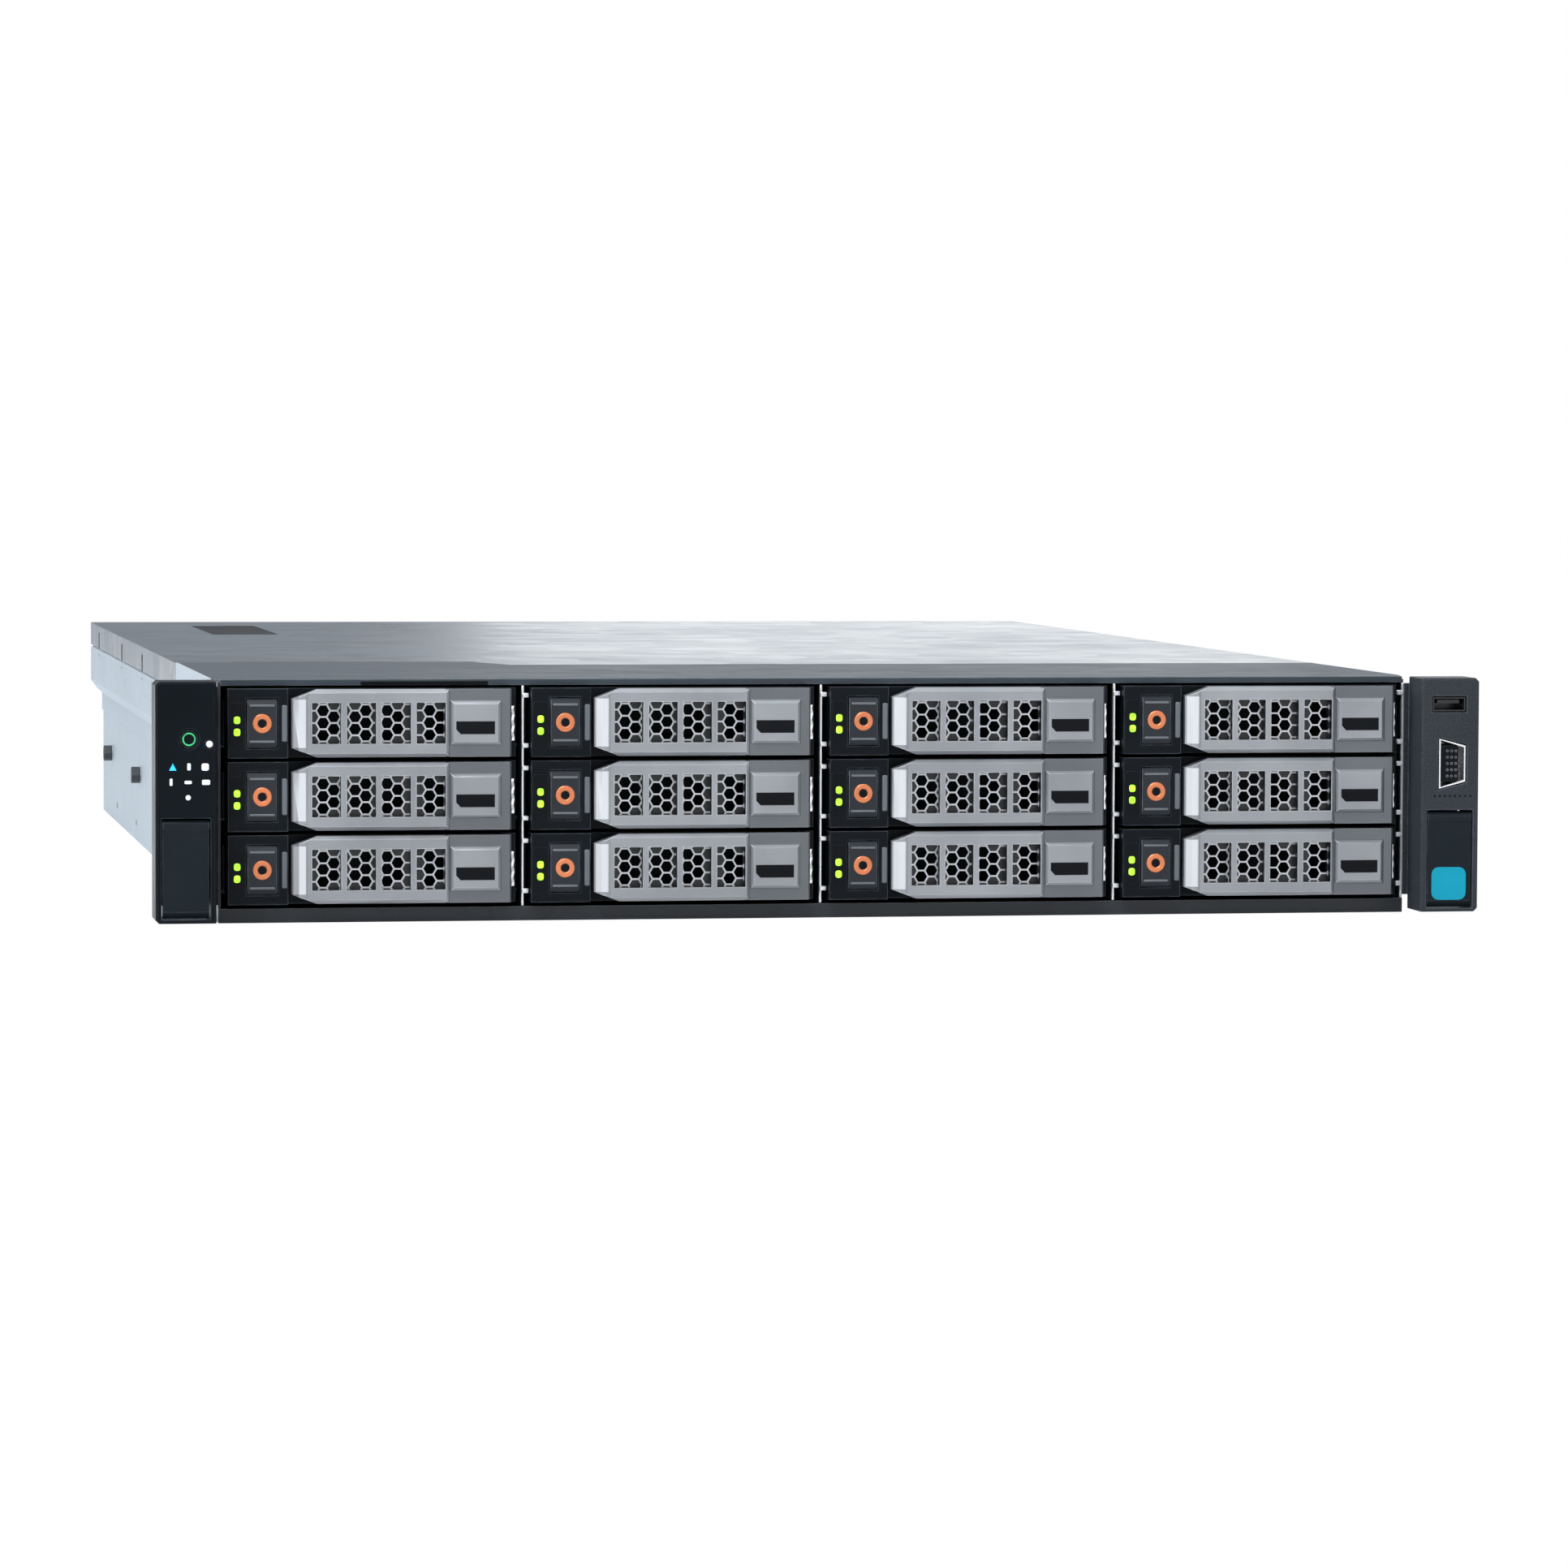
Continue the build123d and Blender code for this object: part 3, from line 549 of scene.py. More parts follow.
class Effects:
    """Node groups that several finishes share, each made once."""

    @staticmethod
    @cache
    def grain() -> bpy.types.NodeTree:
        """Fine even grain: noise at the given number of bumps a metre, with a coarser one over it."""
        group = Group("grain", {"Scale": 1500.0, "Coarse": 90.0}, ("Fine", "Broad"))
        for label, output, detail in (("Scale", "Fine", 2.0), ("Coarse", "Broad", 4.0)):
            noise = group.add("ShaderNodeTexNoise", Vector=group.where, Detail=detail)
            group.feed(noise, "Scale", group.given[label])
            group.give(output, noise.outputs["Fac"])
        return group.tree

    @staticmethod
    @cache
    def wear_and_highlight() -> bpy.types.NodeTree:
        """Worn edges and painted edge highlights: how far a rounded normal turns from the flat one, broken up
        by noise.
        """
        group = Group("wear_and_highlight", {"Radius": 0.0006, "Amount": 1.0}, ("Mask",))
        bevel = group.add("ShaderNodeBevel", Radius=group.given["Radius"])
        bevel.samples = 4
        flat = group.add("ShaderNodeNewGeometry")
        dot = group.vector("DOT_PRODUCT", bevel.outputs["Normal"], flat.outputs["Normal"])
        turned = group.spread(dot.outputs["Value"], 0.99, 0.82)
        noise = group.add("ShaderNodeTexNoise", Vector=group.where, Scale=160.0)
        broken = group.spread(noise.outputs["Fac"], 0.35, 0.6, 0.35)
        group.give("Mask", group.both(group.both(turned, broken), group.given["Amount"]))
        return group.tree

    @staticmethod
    @cache
    def brushing() -> bpy.types.NodeTree:
        """Rolling lines of sheet metal: noise drawn out along one direction, with zinc flowers under it."""
        inputs = {"Along X": 40.0, "Along Y": 40.0, "Along Z": 40.0, "Flowers": 55.0}
        group = Group("brushing", inputs, ("Lines", "Flowers"))
        along = {axis: group.given[f"Along {axis}"] for axis in "XYZ"}
        scaled = group.vector("MULTIPLY", group.where, group.add("ShaderNodeCombineXYZ", **along).outputs[0])
        lines = group.add("ShaderNodeTexNoise", Vector=scaled.outputs["Vector"], Scale=1.0, Detail=5.0)
        group.give("Lines", lines.outputs["Fac"])
        flowers = group.add("ShaderNodeTexVoronoi", Vector=group.where, Scale=group.given["Flowers"])
        shade = group.add("ShaderNodeSeparateColor", Color=flowers.outputs["Color"])
        group.give("Flowers", shade.outputs["Red"])
        return group.tree

    @staticmethod
    @cache
    def dust() -> bpy.types.NodeTree:
        """Dust on what faces up: the normal's height, broken up by broad noise."""
        group = Group("dust", {"Amount": 0.3}, ("Mask",))
        flat = group.add("ShaderNodeNewGeometry")
        parts = group.add("ShaderNodeSeparateXYZ", Vector=flat.outputs["Normal"])
        noise = group.add("ShaderNodeTexNoise", Vector=group.where, Scale=14.0, Detail=6.0)
        upward = group.math("MAXIMUM", parts.outputs["Z"], 0.0)
        group.give("Mask", group.both(group.both(upward, noise.outputs["Fac"]), group.given["Amount"]))
        return group.tree


class Recipe(Nodes):
    """One material while its nodes are put together."""

    def __init__(self, material: bpy.types.Material) -> None:
        """Takes up a material, to add to it.

        Args:
            material: The material, which has its shader.
        """
        super().__init__(material.node_tree)
        self.material = material
        self.shader = self.tree.nodes["Principled BSDF"]

    @classmethod
    def fresh(cls, name: str) -> "Recipe":
        """Starts a material that holds only its shader.

        Args:
            name: The material's name.

        Returns:
            Its recipe.
        """
        material = bpy.data.materials.new(name)
        material.use_nodes = True
        return cls(material)

    def darken(self, mask: Socket, colour: Colour, metallic: float) -> bpy.types.Material:
        """Lays a dark matt colour over the finish where a mask is 1.

        Args:
            mask: Where the colour goes.
            colour: The colour.
            metallic: The finish's own metallic value, which the mask takes away.

        Returns:
            The material.
        """
        base = self.shader.inputs["Base Color"].links[0].from_socket
        metal = self.math("SUBTRACT", metallic, self.math("MULTIPLY", mask, metallic))
        return self.done(Base_Color=self.blend(mask, base, colour), Metallic=metal)

    def bump(self, height: Socket, strength: float, distance: float) -> None:
        """Turns a height into the shader's normal."""
        node = self.add("ShaderNodeBump", Height=height, Strength=strength, Distance=distance)
        self.tree.links.new(node.outputs["Normal"], self.shader.inputs["Normal"])

    def done(self, **values: "Socket | float | Colour") -> bpy.types.Material:
        """Gives the shader its inputs and returns the material."""
        for label, value in values.items():
            self.feed(self.shader, label.replace("_", " "), value)
        return self.material


@dataclass(frozen=True)
class Finish(ABC):
    """What a surface is made of. Its material is made when it is first used."""

    name: str

    def material(self) -> bpy.types.Material:
        """The finish's material, made once."""
        known = bpy.data.materials.get(self.name)
        return known if known is not None else self.make()

    @abstractmethod
    def make(self) -> bpy.types.Material:
        """Builds the material."""


@dataclass(frozen=True)
class SheetSteel(Finish):
    """Rolled sheet metal with faint lines, zinc flowers, edges lightened as wear and as a painted highlight,
    and a little dust.

    Where it has a flank, it takes the walls' tone outside that distance and behind the front flange.
    """

    colour: Colour
    roughness: float = 0.42
    metallic: float = 0.75
    lines: tuple[float, float, float] = (8.0, 900.0, 900.0)
    contrast: float = 0.12
    # edge: the colour of worn edges, which also serves as a painted edge highlight
    edge: Colour = (0.82, 0.84, 0.86)
    wear_and_highlight: float = 0.5
    dust: float = 0.12
    dust_colour: Colour = (0.5, 0.5, 0.49)
    flank: float | None = None
    flange: float = 0.004

    def make(self) -> bpy.types.Material:
        """Lines and flowers vary the colour and the roughness, and edges are lightened as wear and as a
        painted highlight.
        """
        recipe = Recipe.fresh(self.name)
        x, y, z = self.lines
        sheet = recipe.effect(Effects.brushing(), Along_X=x, Along_Y=y, Along_Z=z)
        grain = recipe.effect(Effects.grain(), Scale=2600.0, Coarse=9.0)
        mixed = recipe.math("ADD", recipe.math("MULTIPLY", sheet.outputs["Lines"], 0.6),
                            recipe.math("MULTIPLY", sheet.outputs["Flowers"], 0.4))
        dark = tuple(part * (1 - self.contrast) for part in self.colour)
        light = tuple(min(part * (1 + self.contrast), 1.0) for part in self.colour)
        colour = recipe.blend(recipe.spread(mixed, 0.3, 0.7), dark, light)
        # edges lightened, partly as wear and partly as a painted highlight
        worn_and_highlit = recipe.effect(Effects.wear_and_highlight(), Radius=EDGE_RADIUS, Amount=self.wear_and_highlight)
        colour = recipe.blend(worn_and_highlit.outputs["Mask"], colour, self.edge)
        dust = recipe.effect(Effects.dust(), Amount=self.dust)
        colour = recipe.blend(dust.outputs["Mask"], colour, self.dust_colour)
        rough = recipe.spread(recipe.math("ADD", mixed, grain.outputs["Broad"]), 0.6, 1.4,
                              self.roughness - 0.06, self.roughness + 0.08)
        recipe.bump(recipe.math("ADD", sheet.outputs["Lines"], grain.outputs["Fine"]), 0.12, 0.00006)
        if self.flank is not None:
            axes = recipe.axes()
            outer = recipe.math("GREATER_THAN", recipe.apart(axes["X"]), self.flank)
            behind = recipe.math("GREATER_THAN", axes["Y"], self.flange)
            colour = recipe.blend(recipe.both(outer, behind), colour, STEEL)
        return recipe.done(Base_Color=colour, Roughness=rough, Metallic=self.metallic)


@dataclass(frozen=True)
class PanelSteel(SheetSteel):
    """Sheet metal with a band of staggered holes and dark patches, each between four limits in metres. Some
    patches are painted shadow along seams, others a part's own dark colour.
    """

    band: Limits | None = None
    shade_and_dark_patches: tuple[Limits, ...] = ()
    across: str = "X"
    along: str = "Y"
    pitch: float = 0.0046
    hole: float = 0.0014
    dark: Colour = (0.010, 0.011, 0.013)

    def make(self) -> bpy.types.Material:
        """The sheet's finish, with its holes and patches laid over it."""
        recipe = Recipe(super().make())
        axes = recipe.axes()
        masks = []
        if self.band is not None:
            holes = recipe.holes(axes[self.across], axes[self.along], self.pitch, self.hole)
            masks.append(recipe.both(self.area(recipe, axes, self.band), holes))
        masks += [self.area(recipe, axes, patch) for patch in self.shade_and_dark_patches]
        mask = masks[0]
        for other in masks[1:]:
            mask = recipe.math("MAXIMUM", mask, other)
        return recipe.darken(mask, self.dark, self.metallic)

    def area(self, recipe: Recipe, axes: dict[str, Socket], limits: Limits) -> Socket:
        """A mask of the rectangle between four limits.

        Args:
            recipe: The material's recipe.
            axes: Its object coordinates.
            limits: Two limits across and two along, in metres.

        Returns:
            1 inside the rectangle.
        """
        low, high, start, end = limits
        across = recipe.within(axes[self.across], low, high)
        return recipe.both(across, recipe.within(axes[self.along], start, end))


@dataclass(frozen=True)
class StuddedSteel(SheetSteel):
    """Sheet metal whose studs, which stand out from the lower walls, are blackened."""

    wall: float = 0.2155
    top: float = 0.046
    dark: Colour = (0.03, 0.034, 0.04)

    def make(self) -> bpy.types.Material:
        """The sheet's finish, dark beyond the lower wall's face."""
        recipe = Recipe(super().make())
        axes = recipe.axes()
        beyond = recipe.math("GREATER_THAN", recipe.apart(axes["X"]), self.wall)
        mask = recipe.both(beyond, recipe.math("LESS_THAN", axes["Z"], self.top))
        return recipe.darken(mask, self.dark, self.metallic)


@dataclass(frozen=True)
class Moulded(Finish):
    """Moulded or painted plastic with a fine grain, specks, and edges lightened as wear and as a painted
    highlight.
    """

    colour: Colour
    roughness: float = 0.45
    metallic: float = 0.0
    grain: float = 1800.0
    depth: float = 0.00004
    speck: float = 0.0
    # edge: the colour of worn edges, which also serves as a painted edge highlight
    edge: Colour = (0.25, 0.26, 0.28)
    wear_and_highlight: float = 0.4
    dust: float = 0.012
    dust_colour: Colour = (0.42, 0.42, 0.41)
    shine: float = 0.5

    def make(self) -> bpy.types.Material:
        """Grain bumps the surface, broad noise shifts its tone, specks are lighter, and edges are lightened
        as wear and as a painted highlight.
        """
        recipe = Recipe.fresh(self.name)
        grain = recipe.effect(Effects.grain(), Scale=self.grain, Coarse=28.0)
        dark = tuple(part * 0.86 for part in self.colour)
        light = tuple(min(part * 1.12, 1.0) for part in self.colour)
        colour = recipe.blend(recipe.spread(grain.outputs["Broad"], 0.3, 0.7), dark, light)
        if self.speck:
            specks = recipe.spread(grain.outputs["Fine"], 0.52, 0.68, 0.0, self.speck)
            pale = tuple(min(part * 2.6 + 0.03, 1.0) for part in self.colour)
            colour = recipe.blend(specks, colour, pale)
        # edges lightened, partly as wear and partly as a painted highlight
        worn_and_highlit = recipe.effect(Effects.wear_and_highlight(), Radius=EDGE_RADIUS, Amount=self.wear_and_highlight)
        colour = recipe.blend(worn_and_highlit.outputs["Mask"], colour, self.edge)
        dust = recipe.effect(Effects.dust(), Amount=self.dust)
        colour = recipe.blend(dust.outputs["Mask"], colour, self.dust_colour)
        rough = recipe.spread(grain.outputs["Broad"], 0.3, 0.7, self.roughness - 0.05, self.roughness + 0.07)
        recipe.bump(grain.outputs["Fine"], 0.35, self.depth)
        return recipe.done(Base_Color=colour, Roughness=rough, Metallic=self.metallic,
                           Specular_IOR_Level=self.shine)


@dataclass(frozen=True)
class GrilleSilver(Moulded):
    """Silver plastic whose windows are painted dark, apart from the light webs of the honeycomb behind them:
    painted shade on the pockets' walls and painted holes where the screen's cells are cut.

    Its tip carries a painted highlight, and what lies low beside the raised pad has painted shade. The sizes
    are in metres, and repeat for every column and row of drives.
    """

    column: tuple[float, float] = (-0.2172, 0.1086)
    row: tuple[float, float] = (0.0061, 0.0261)
    window: tuple[float, float] = (-0.02305, 0.01245)
    window_half: tuple[float, float] = (0.00528, 0.00742)
    windows: tuple[float, float] = (-0.0222, 0.0259)
    mouth: float = -0.0088
    screen: float = -0.0053
    first_cell: float = -0.0177
    cell: tuple[float, float] = (0.0044, 0.00188)
    # the limits of the painted highlight on the handle's tip, and its half height
    tip_highlight: tuple[float, float] = (-0.0286, -0.0242)
    tip_highlight_half: float = 0.0086
    # where the low ground beside the raised pad starts, which takes painted shade
    recess_shade: tuple[float, float] = (0.0258, -0.0080)
    # shares of the web colour, the tip's painted highlight and the painted shade beside the pad
    shares: tuple[float, float, float] = (0.55, 0.8, 0.7)
    # light: the colour of the webs and of the tip's painted highlight
    light: Colour = (0.78, 0.80, 0.83)
    shade: Colour = (0.07, 0.078, 0.088)
    # dark: the colour of the windows' painted shade and painted holes
    dark: Colour = (0.004, 0.005, 0.006)

    def make(self) -> bpy.types.Material:
        """The silver finish, darkened inside the windows' limits wherever no web lies."""
        recipe = Recipe(super().make())
        axes = recipe.axes()
        x = recipe.wrapped(axes["X"], *self.column)
        z = recipe.wrapped(axes["Z"], *self.row)
        beside, above = recipe.apart(recipe.wrapped(x, *self.window)), recipe.apart(z)
        inside = recipe.both(recipe.math("LESS_THAN", beside, self.window_half[0]),
                             recipe.math("LESS_THAN", above, self.window_half[1]))
        inside = recipe.both(inside, recipe.within(x, *self.windows))
        inside = recipe.both(inside, recipe.math("GREATER_THAN", axes["Y"], self.mouth))
        cells = recipe.cells(recipe.math("SUBTRACT", x, self.first_cell), z, *self.cell)
        web = recipe.both(recipe.math("SUBTRACT", 1.0, cells),
                          recipe.math("GREATER_THAN", axes["Y"], self.screen))
        # painted highlight on the handle's tip
        tip_highlight = recipe.both(recipe.within(x, *self.tip_highlight), recipe.math("LESS_THAN", above, self.tip_highlight_half))
        low = recipe.both(recipe.math("GREATER_THAN", x, self.recess_shade[0]),
                          recipe.math("GREATER_THAN", axes["Y"], self.recess_shade[1]))
        web_share, tip_highlight_share, recess_shade_share = self.shares
        light = recipe.math("MAXIMUM", recipe.both(recipe.both(inside, web), web_share),
                            recipe.both(tip_highlight, tip_highlight_share))
        # painted shade on the low ground beside the raised pad
        base = recipe.shader.inputs["Base Color"].links[0].from_socket
        base = recipe.blend(recipe.both(low, recess_shade_share), base, self.shade)
        recipe.feed(recipe.shader, "Base Color", recipe.blend(light, base, self.light))
        # painted shade on the windows' pocket walls, and painted holes where the screen's cells are cut
        return recipe.darken(recipe.both(inside, recipe.math("SUBTRACT", 1.0, web)), self.dark, self.metallic)


@dataclass(frozen=True)
class Board(Finish):
    """A circuit board: solder mask with traces, small parts and gold pads."""

    colour: Colour = (0.012, 0.075, 0.035)
    part: Colour = (0.012, 0.012, 0.014)
    pad: Colour = (0.55, 0.42, 0.16)
    blocks: float = 48.0
    parts: float = 170.0
    traces: float = 5200.0

    def make(self) -> bpy.types.Material:
        """Traces run square to each other in blocks, with pads and dark parts between."""
        recipe = Recipe.fresh(self.name)
        blocks = recipe.add("ShaderNodeTexVoronoi", Vector=recipe.where, Scale=self.blocks)
        blocks.distance = "CHEBYCHEV"
        tone = recipe.add("ShaderNodeSeparateColor", Color=blocks.outputs["Color"])
        axes = recipe.axes()
        stripes = []
        for axis in ("X", "Y"):
            wave = recipe.math("SINE", recipe.math("MULTIPLY", axes[axis], self.traces))
            stripes.append(recipe.math("GREATER_THAN", wave, 0.72))
        across = recipe.math("GREATER_THAN", tone.outputs["Green"], 0.5)
        trace = recipe.math("ADD", recipe.both(stripes[0], across),
                            recipe.both(stripes[1], recipe.math("SUBTRACT", 1.0, across)))
        trace = recipe.both(trace, recipe.math("GREATER_THAN", tone.outputs["Red"], 0.35))
        colour = recipe.blend(trace, self.colour, tuple(share * 1.9 for share in self.colour))
        chips = recipe.add("ShaderNodeTexVoronoi", Vector=recipe.where, Scale=self.parts)
        chips.distance = "CHEBYCHEV"
        near = recipe.math("LESS_THAN", chips.outputs["Distance"], 0.26)
        kind = recipe.add("ShaderNodeSeparateColor", Color=chips.outputs["Color"])
        dark = recipe.both(near, recipe.math("GREATER_THAN", kind.outputs["Red"], 0.7))
        pale = recipe.both(near, recipe.math("LESS_THAN", kind.outputs["Red"], 0.12))
        colour = recipe.blend(dark, colour, self.part)
        colour = recipe.blend(pale, colour, self.pad)
        recipe.bump(recipe.math("ADD", trace, recipe.math("MULTIPLY", dark, 4.0)), 0.4, 0.0001)
        rough = recipe.spread(kind.outputs["Blue"], 0.0, 1.0, 0.3, 0.5)
        return recipe.done(Base_Color=colour, Roughness=rough)


@dataclass(frozen=True)
class Lamp(Finish):
    """A small lamp behind a clear window, its glow varied a little by noise."""

    colour: Colour
    strength: float = 1.6

    def make(self) -> bpy.types.Material:
        """Fine noise varies the glow a little, over a diffuser of the same colour."""
        recipe = Recipe.fresh(self.name)
        grain = recipe.effect(Effects.grain(), Scale=900.0, Coarse=300.0)
        dim = tuple(part * 0.55 for part in self.colour)
        glow = recipe.blend(recipe.spread(grain.outputs["Broad"], 0.35, 0.6), dim, self.colour)
        return recipe.done(Base_Color=glow, Roughness=0.25, Emission_Color=glow,
                           Emission_Strength=self.strength)


SIDE = StuddedSteel("side_steel_finish", STEEL, roughness=0.5, lines=(900.0, 9.0, 900.0), contrast=0.06)
TOP = PanelSteel("cover_steel_finish", (0.15, 0.18, 0.21), roughness=0.32, metallic=0.8,
                 lines=(7.0, 700.0, 700.0), contrast=0.05, edge=(0.42, 0.46, 0.5), dust=0.04,
                 # the patches along the seams with the front panel are painted shadow, wider than the gaps
                 shade_and_dark_patches=((-0.199, -0.106, 0.1670, 0.1725), (-0.1095, -0.1045, 0.1640, 0.1760),
                          (-0.093, 0.2195, 0.1354, 0.1390), (0.104, 0.116, 0.6605, 0.6655)))
# a darker copy of the cover's steel, as painted shade on the front panel's top; the flank keeps its side
# flange at the walls' tone
FRONT_TOP_SHADED = PanelSteel("front_panel_shaded_finish", (0.035, 0.048, 0.062), roughness=0.55, metallic=0.3,
                       lines=(7.0, 700.0, 700.0), contrast=0.05, edge=(0.42, 0.46, 0.5), dust=0.04,
                       band=(-0.094, 0.206, 0.044, 0.088), flank=0.2192,
                       # the first two patches are painted shadow along the seams with the cover
                       shade_and_dark_patches=((-0.093, 0.2195, 0.1338, 0.1352), (-0.199, -0.107, 0.1666, 0.1682),
                                (-0.2192, -0.2162, 0.0075, 0.0145)))
REAR = PanelSteel("rear_panel_finish", (0.60, 0.64, 0.68), roughness=0.45, lines=(8.0, 900.0, 900.0),
                  band=(-0.036, 0.205, 0.0265, 0.0525), across="X", along="Z", pitch=0.0052, hole=0.0018)
CAGE = SheetSteel("cage_finish", (0.018, 0.022, 0.027), roughness=0.42, metallic=0.2, contrast=0.2,
                  edge=(0.2, 0.24, 0.28), wear_and_highlight=0.7, dust=0.02, flank=0.2165)
BRIGHT = SheetSteel("bright_steel_finish", (0.86, 0.88, 0.9), roughness=0.3, metallic=0.85, contrast=0.06)
PIN = Moulded("pin_finish", (0.02, 0.022, 0.026), roughness=0.5, edge=(0.12, 0.13, 0.14), shine=0.2)
SILVER = GrilleSilver("handle_finish", (0.30, 0.315, 0.335), roughness=0.34, metallic=0.6, grain=2400.0,
                      edge=(0.85, 0.87, 0.9), wear_and_highlight=0.9)
BLACK = Moulded("black_finish", (0.006, 0.007, 0.009), roughness=0.42, edge=(0.05, 0.055, 0.065), shine=0.06)
BEZEL = Moulded("bezel_finish", (0.005, 0.007, 0.009), roughness=0.38, edge=(0.20, 0.25, 0.30), wear_and_highlight=0.5,
                shine=0.08)
BUTTON = Moulded("release_finish", (0.022, 0.025, 0.030), roughness=0.38, edge=(0.30, 0.34, 0.38), wear_and_highlight=0.8,
                 shine=0.15)
BAR = Moulded("grey_bar_finish", (0.10, 0.11, 0.125), roughness=0.4, edge=(0.3, 0.33, 0.36))
LEFT_EAR = Moulded("left_ear_finish", (0.003, 0.0055, 0.008), roughness=0.34, edge=(0.22, 0.27, 0.32),
                   wear_and_highlight=0.4, shine=0.08)
RIGHT_EAR = Moulded("right_ear_finish", (0.026, 0.031, 0.037), roughness=0.48, grain=2200.0, depth=0.00009,
                    speck=0.3, edge=(0.24, 0.27, 0.3), wear_and_highlight=0.9, shine=0.12)
LATCH = Moulded("ear_latch_finish", (0.007, 0.012, 0.016), roughness=0.36, edge=(0.45, 0.52, 0.58), wear_and_highlight=0.45,
                shine=0.12)
LEVER = Moulded("cover_lever_finish", (0.012, 0.013, 0.016), roughness=0.45, edge=(0.1, 0.1, 0.11),
                shine=0.06)
COPPER = Moulded("copper_finish", (0.66, 0.20, 0.08), roughness=0.32, metallic=0.5, edge=(0.95, 0.5, 0.3),
                 wear_and_highlight=0.6)
PALE = Moulded("pale_plastic_finish", (0.74, 0.76, 0.76), roughness=0.35, edge=(0.85, 0.86, 0.86))
SIGN = Moulded("sign_finish", (0.72, 0.75, 0.77), roughness=0.5, edge=(0.8, 0.82, 0.84))
BLUE = Moulded("blue_finish", (0.0, 0.29, 0.42), roughness=0.4, edge=(0.02, 0.3, 0.5), shine=0.2)
BLUE_SIGN = Lamp("blue_sign_finish", (0.02, 0.45, 0.8), 0.7)
GREEN = Lamp("green_lamp_finish", (0.36, 0.9, 0.03), 1.3)
POWER = Lamp("power_lamp_finish", (0.03, 0.5, 0.16), 0.5)
FAN = Moulded("fan_finish", (0.02, 0.02, 0.022), roughness=0.48)
FINS = SheetSteel("fin_finish", (0.74, 0.75, 0.76), roughness=0.34, metallic=0.9, lines=(900.0, 9.0, 900.0))
SUPPLY = SheetSteel("supply_finish", (0.56, 0.58, 0.6), roughness=0.4, metallic=0.85,
                    lines=(900.0, 9.0, 900.0))
SOCKET = PanelSteel("socket_finish", (0.8, 0.81, 0.82), roughness=0.25, metallic=0.95, contrast=0.05,
                    across="X", along="Z", shade_and_dark_patches=((0.220, 0.238, 0.072, 0.082),))
CIRCUIT = Board("circuit_finish")


def piece(name: str, shell: Shell, finish: Finish, body: str) -> bpy.types.Object:
    """Makes a piece of the object from its surface.

    Args:
        name: The piece's name.
        shell: Its surface, in millimetres and in its place.
        finish: What it is made of.
        body: The body that it rides on.

    Returns:
        The piece, with its origin at the frame's.
    """
    mesh = bpy.data.meshes.new(name)
    faces = [face for block in shell.faces for face in block.tolist()]
    mesh.from_pydata((shell.points * MM).tolist(), [], faces)
    work = bmesh.new()
    work.from_mesh(mesh)
    bmesh.ops.recalc_face_normals(work, faces=work.faces)
    work.to_mesh(mesh)
    work.free()
    mesh.shade_smooth()
    mesh.set_sharp_from_angle(angle=SHARP)
    mesh.materials.append(finish.material())
    made = bpy.data.objects.new(name, mesh)
    bpy.context.scene.collection.objects.link(made)
    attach(made, body)
    log.info("%s: %d faces on %s", name, len(mesh.polygons), body)
    return made


def dress(node: str, finish: Finish, bevel: float = 0.0) -> None:
    """Gives a CAD node its finish, and breaks its edges.

    Args:
        node: The node's name.
        finish: What it is made of.
        bevel: The width of its broken edges in millimetres, or none.
    """
    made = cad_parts[node]
    if not made.material_slots:
        made.data.materials.append(finish.material())
    for slot in made.material_slots:
        slot.material = finish.material()
    if bevel:
        weld = made.modifiers.new("weld", "WELD")
        weld.merge_threshold = WELD
        edges = made.modifiers.new("edges", "BEVEL")
        edges.width = bevel * MM
        edges.segments = 2
        edges.limit_method = "ANGLE"
        edges.angle_limit = BROKEN
        edges.harden_normals = True
        edges.use_clamp_overlap = True
    log.info("%s: %s", node, finish.name)


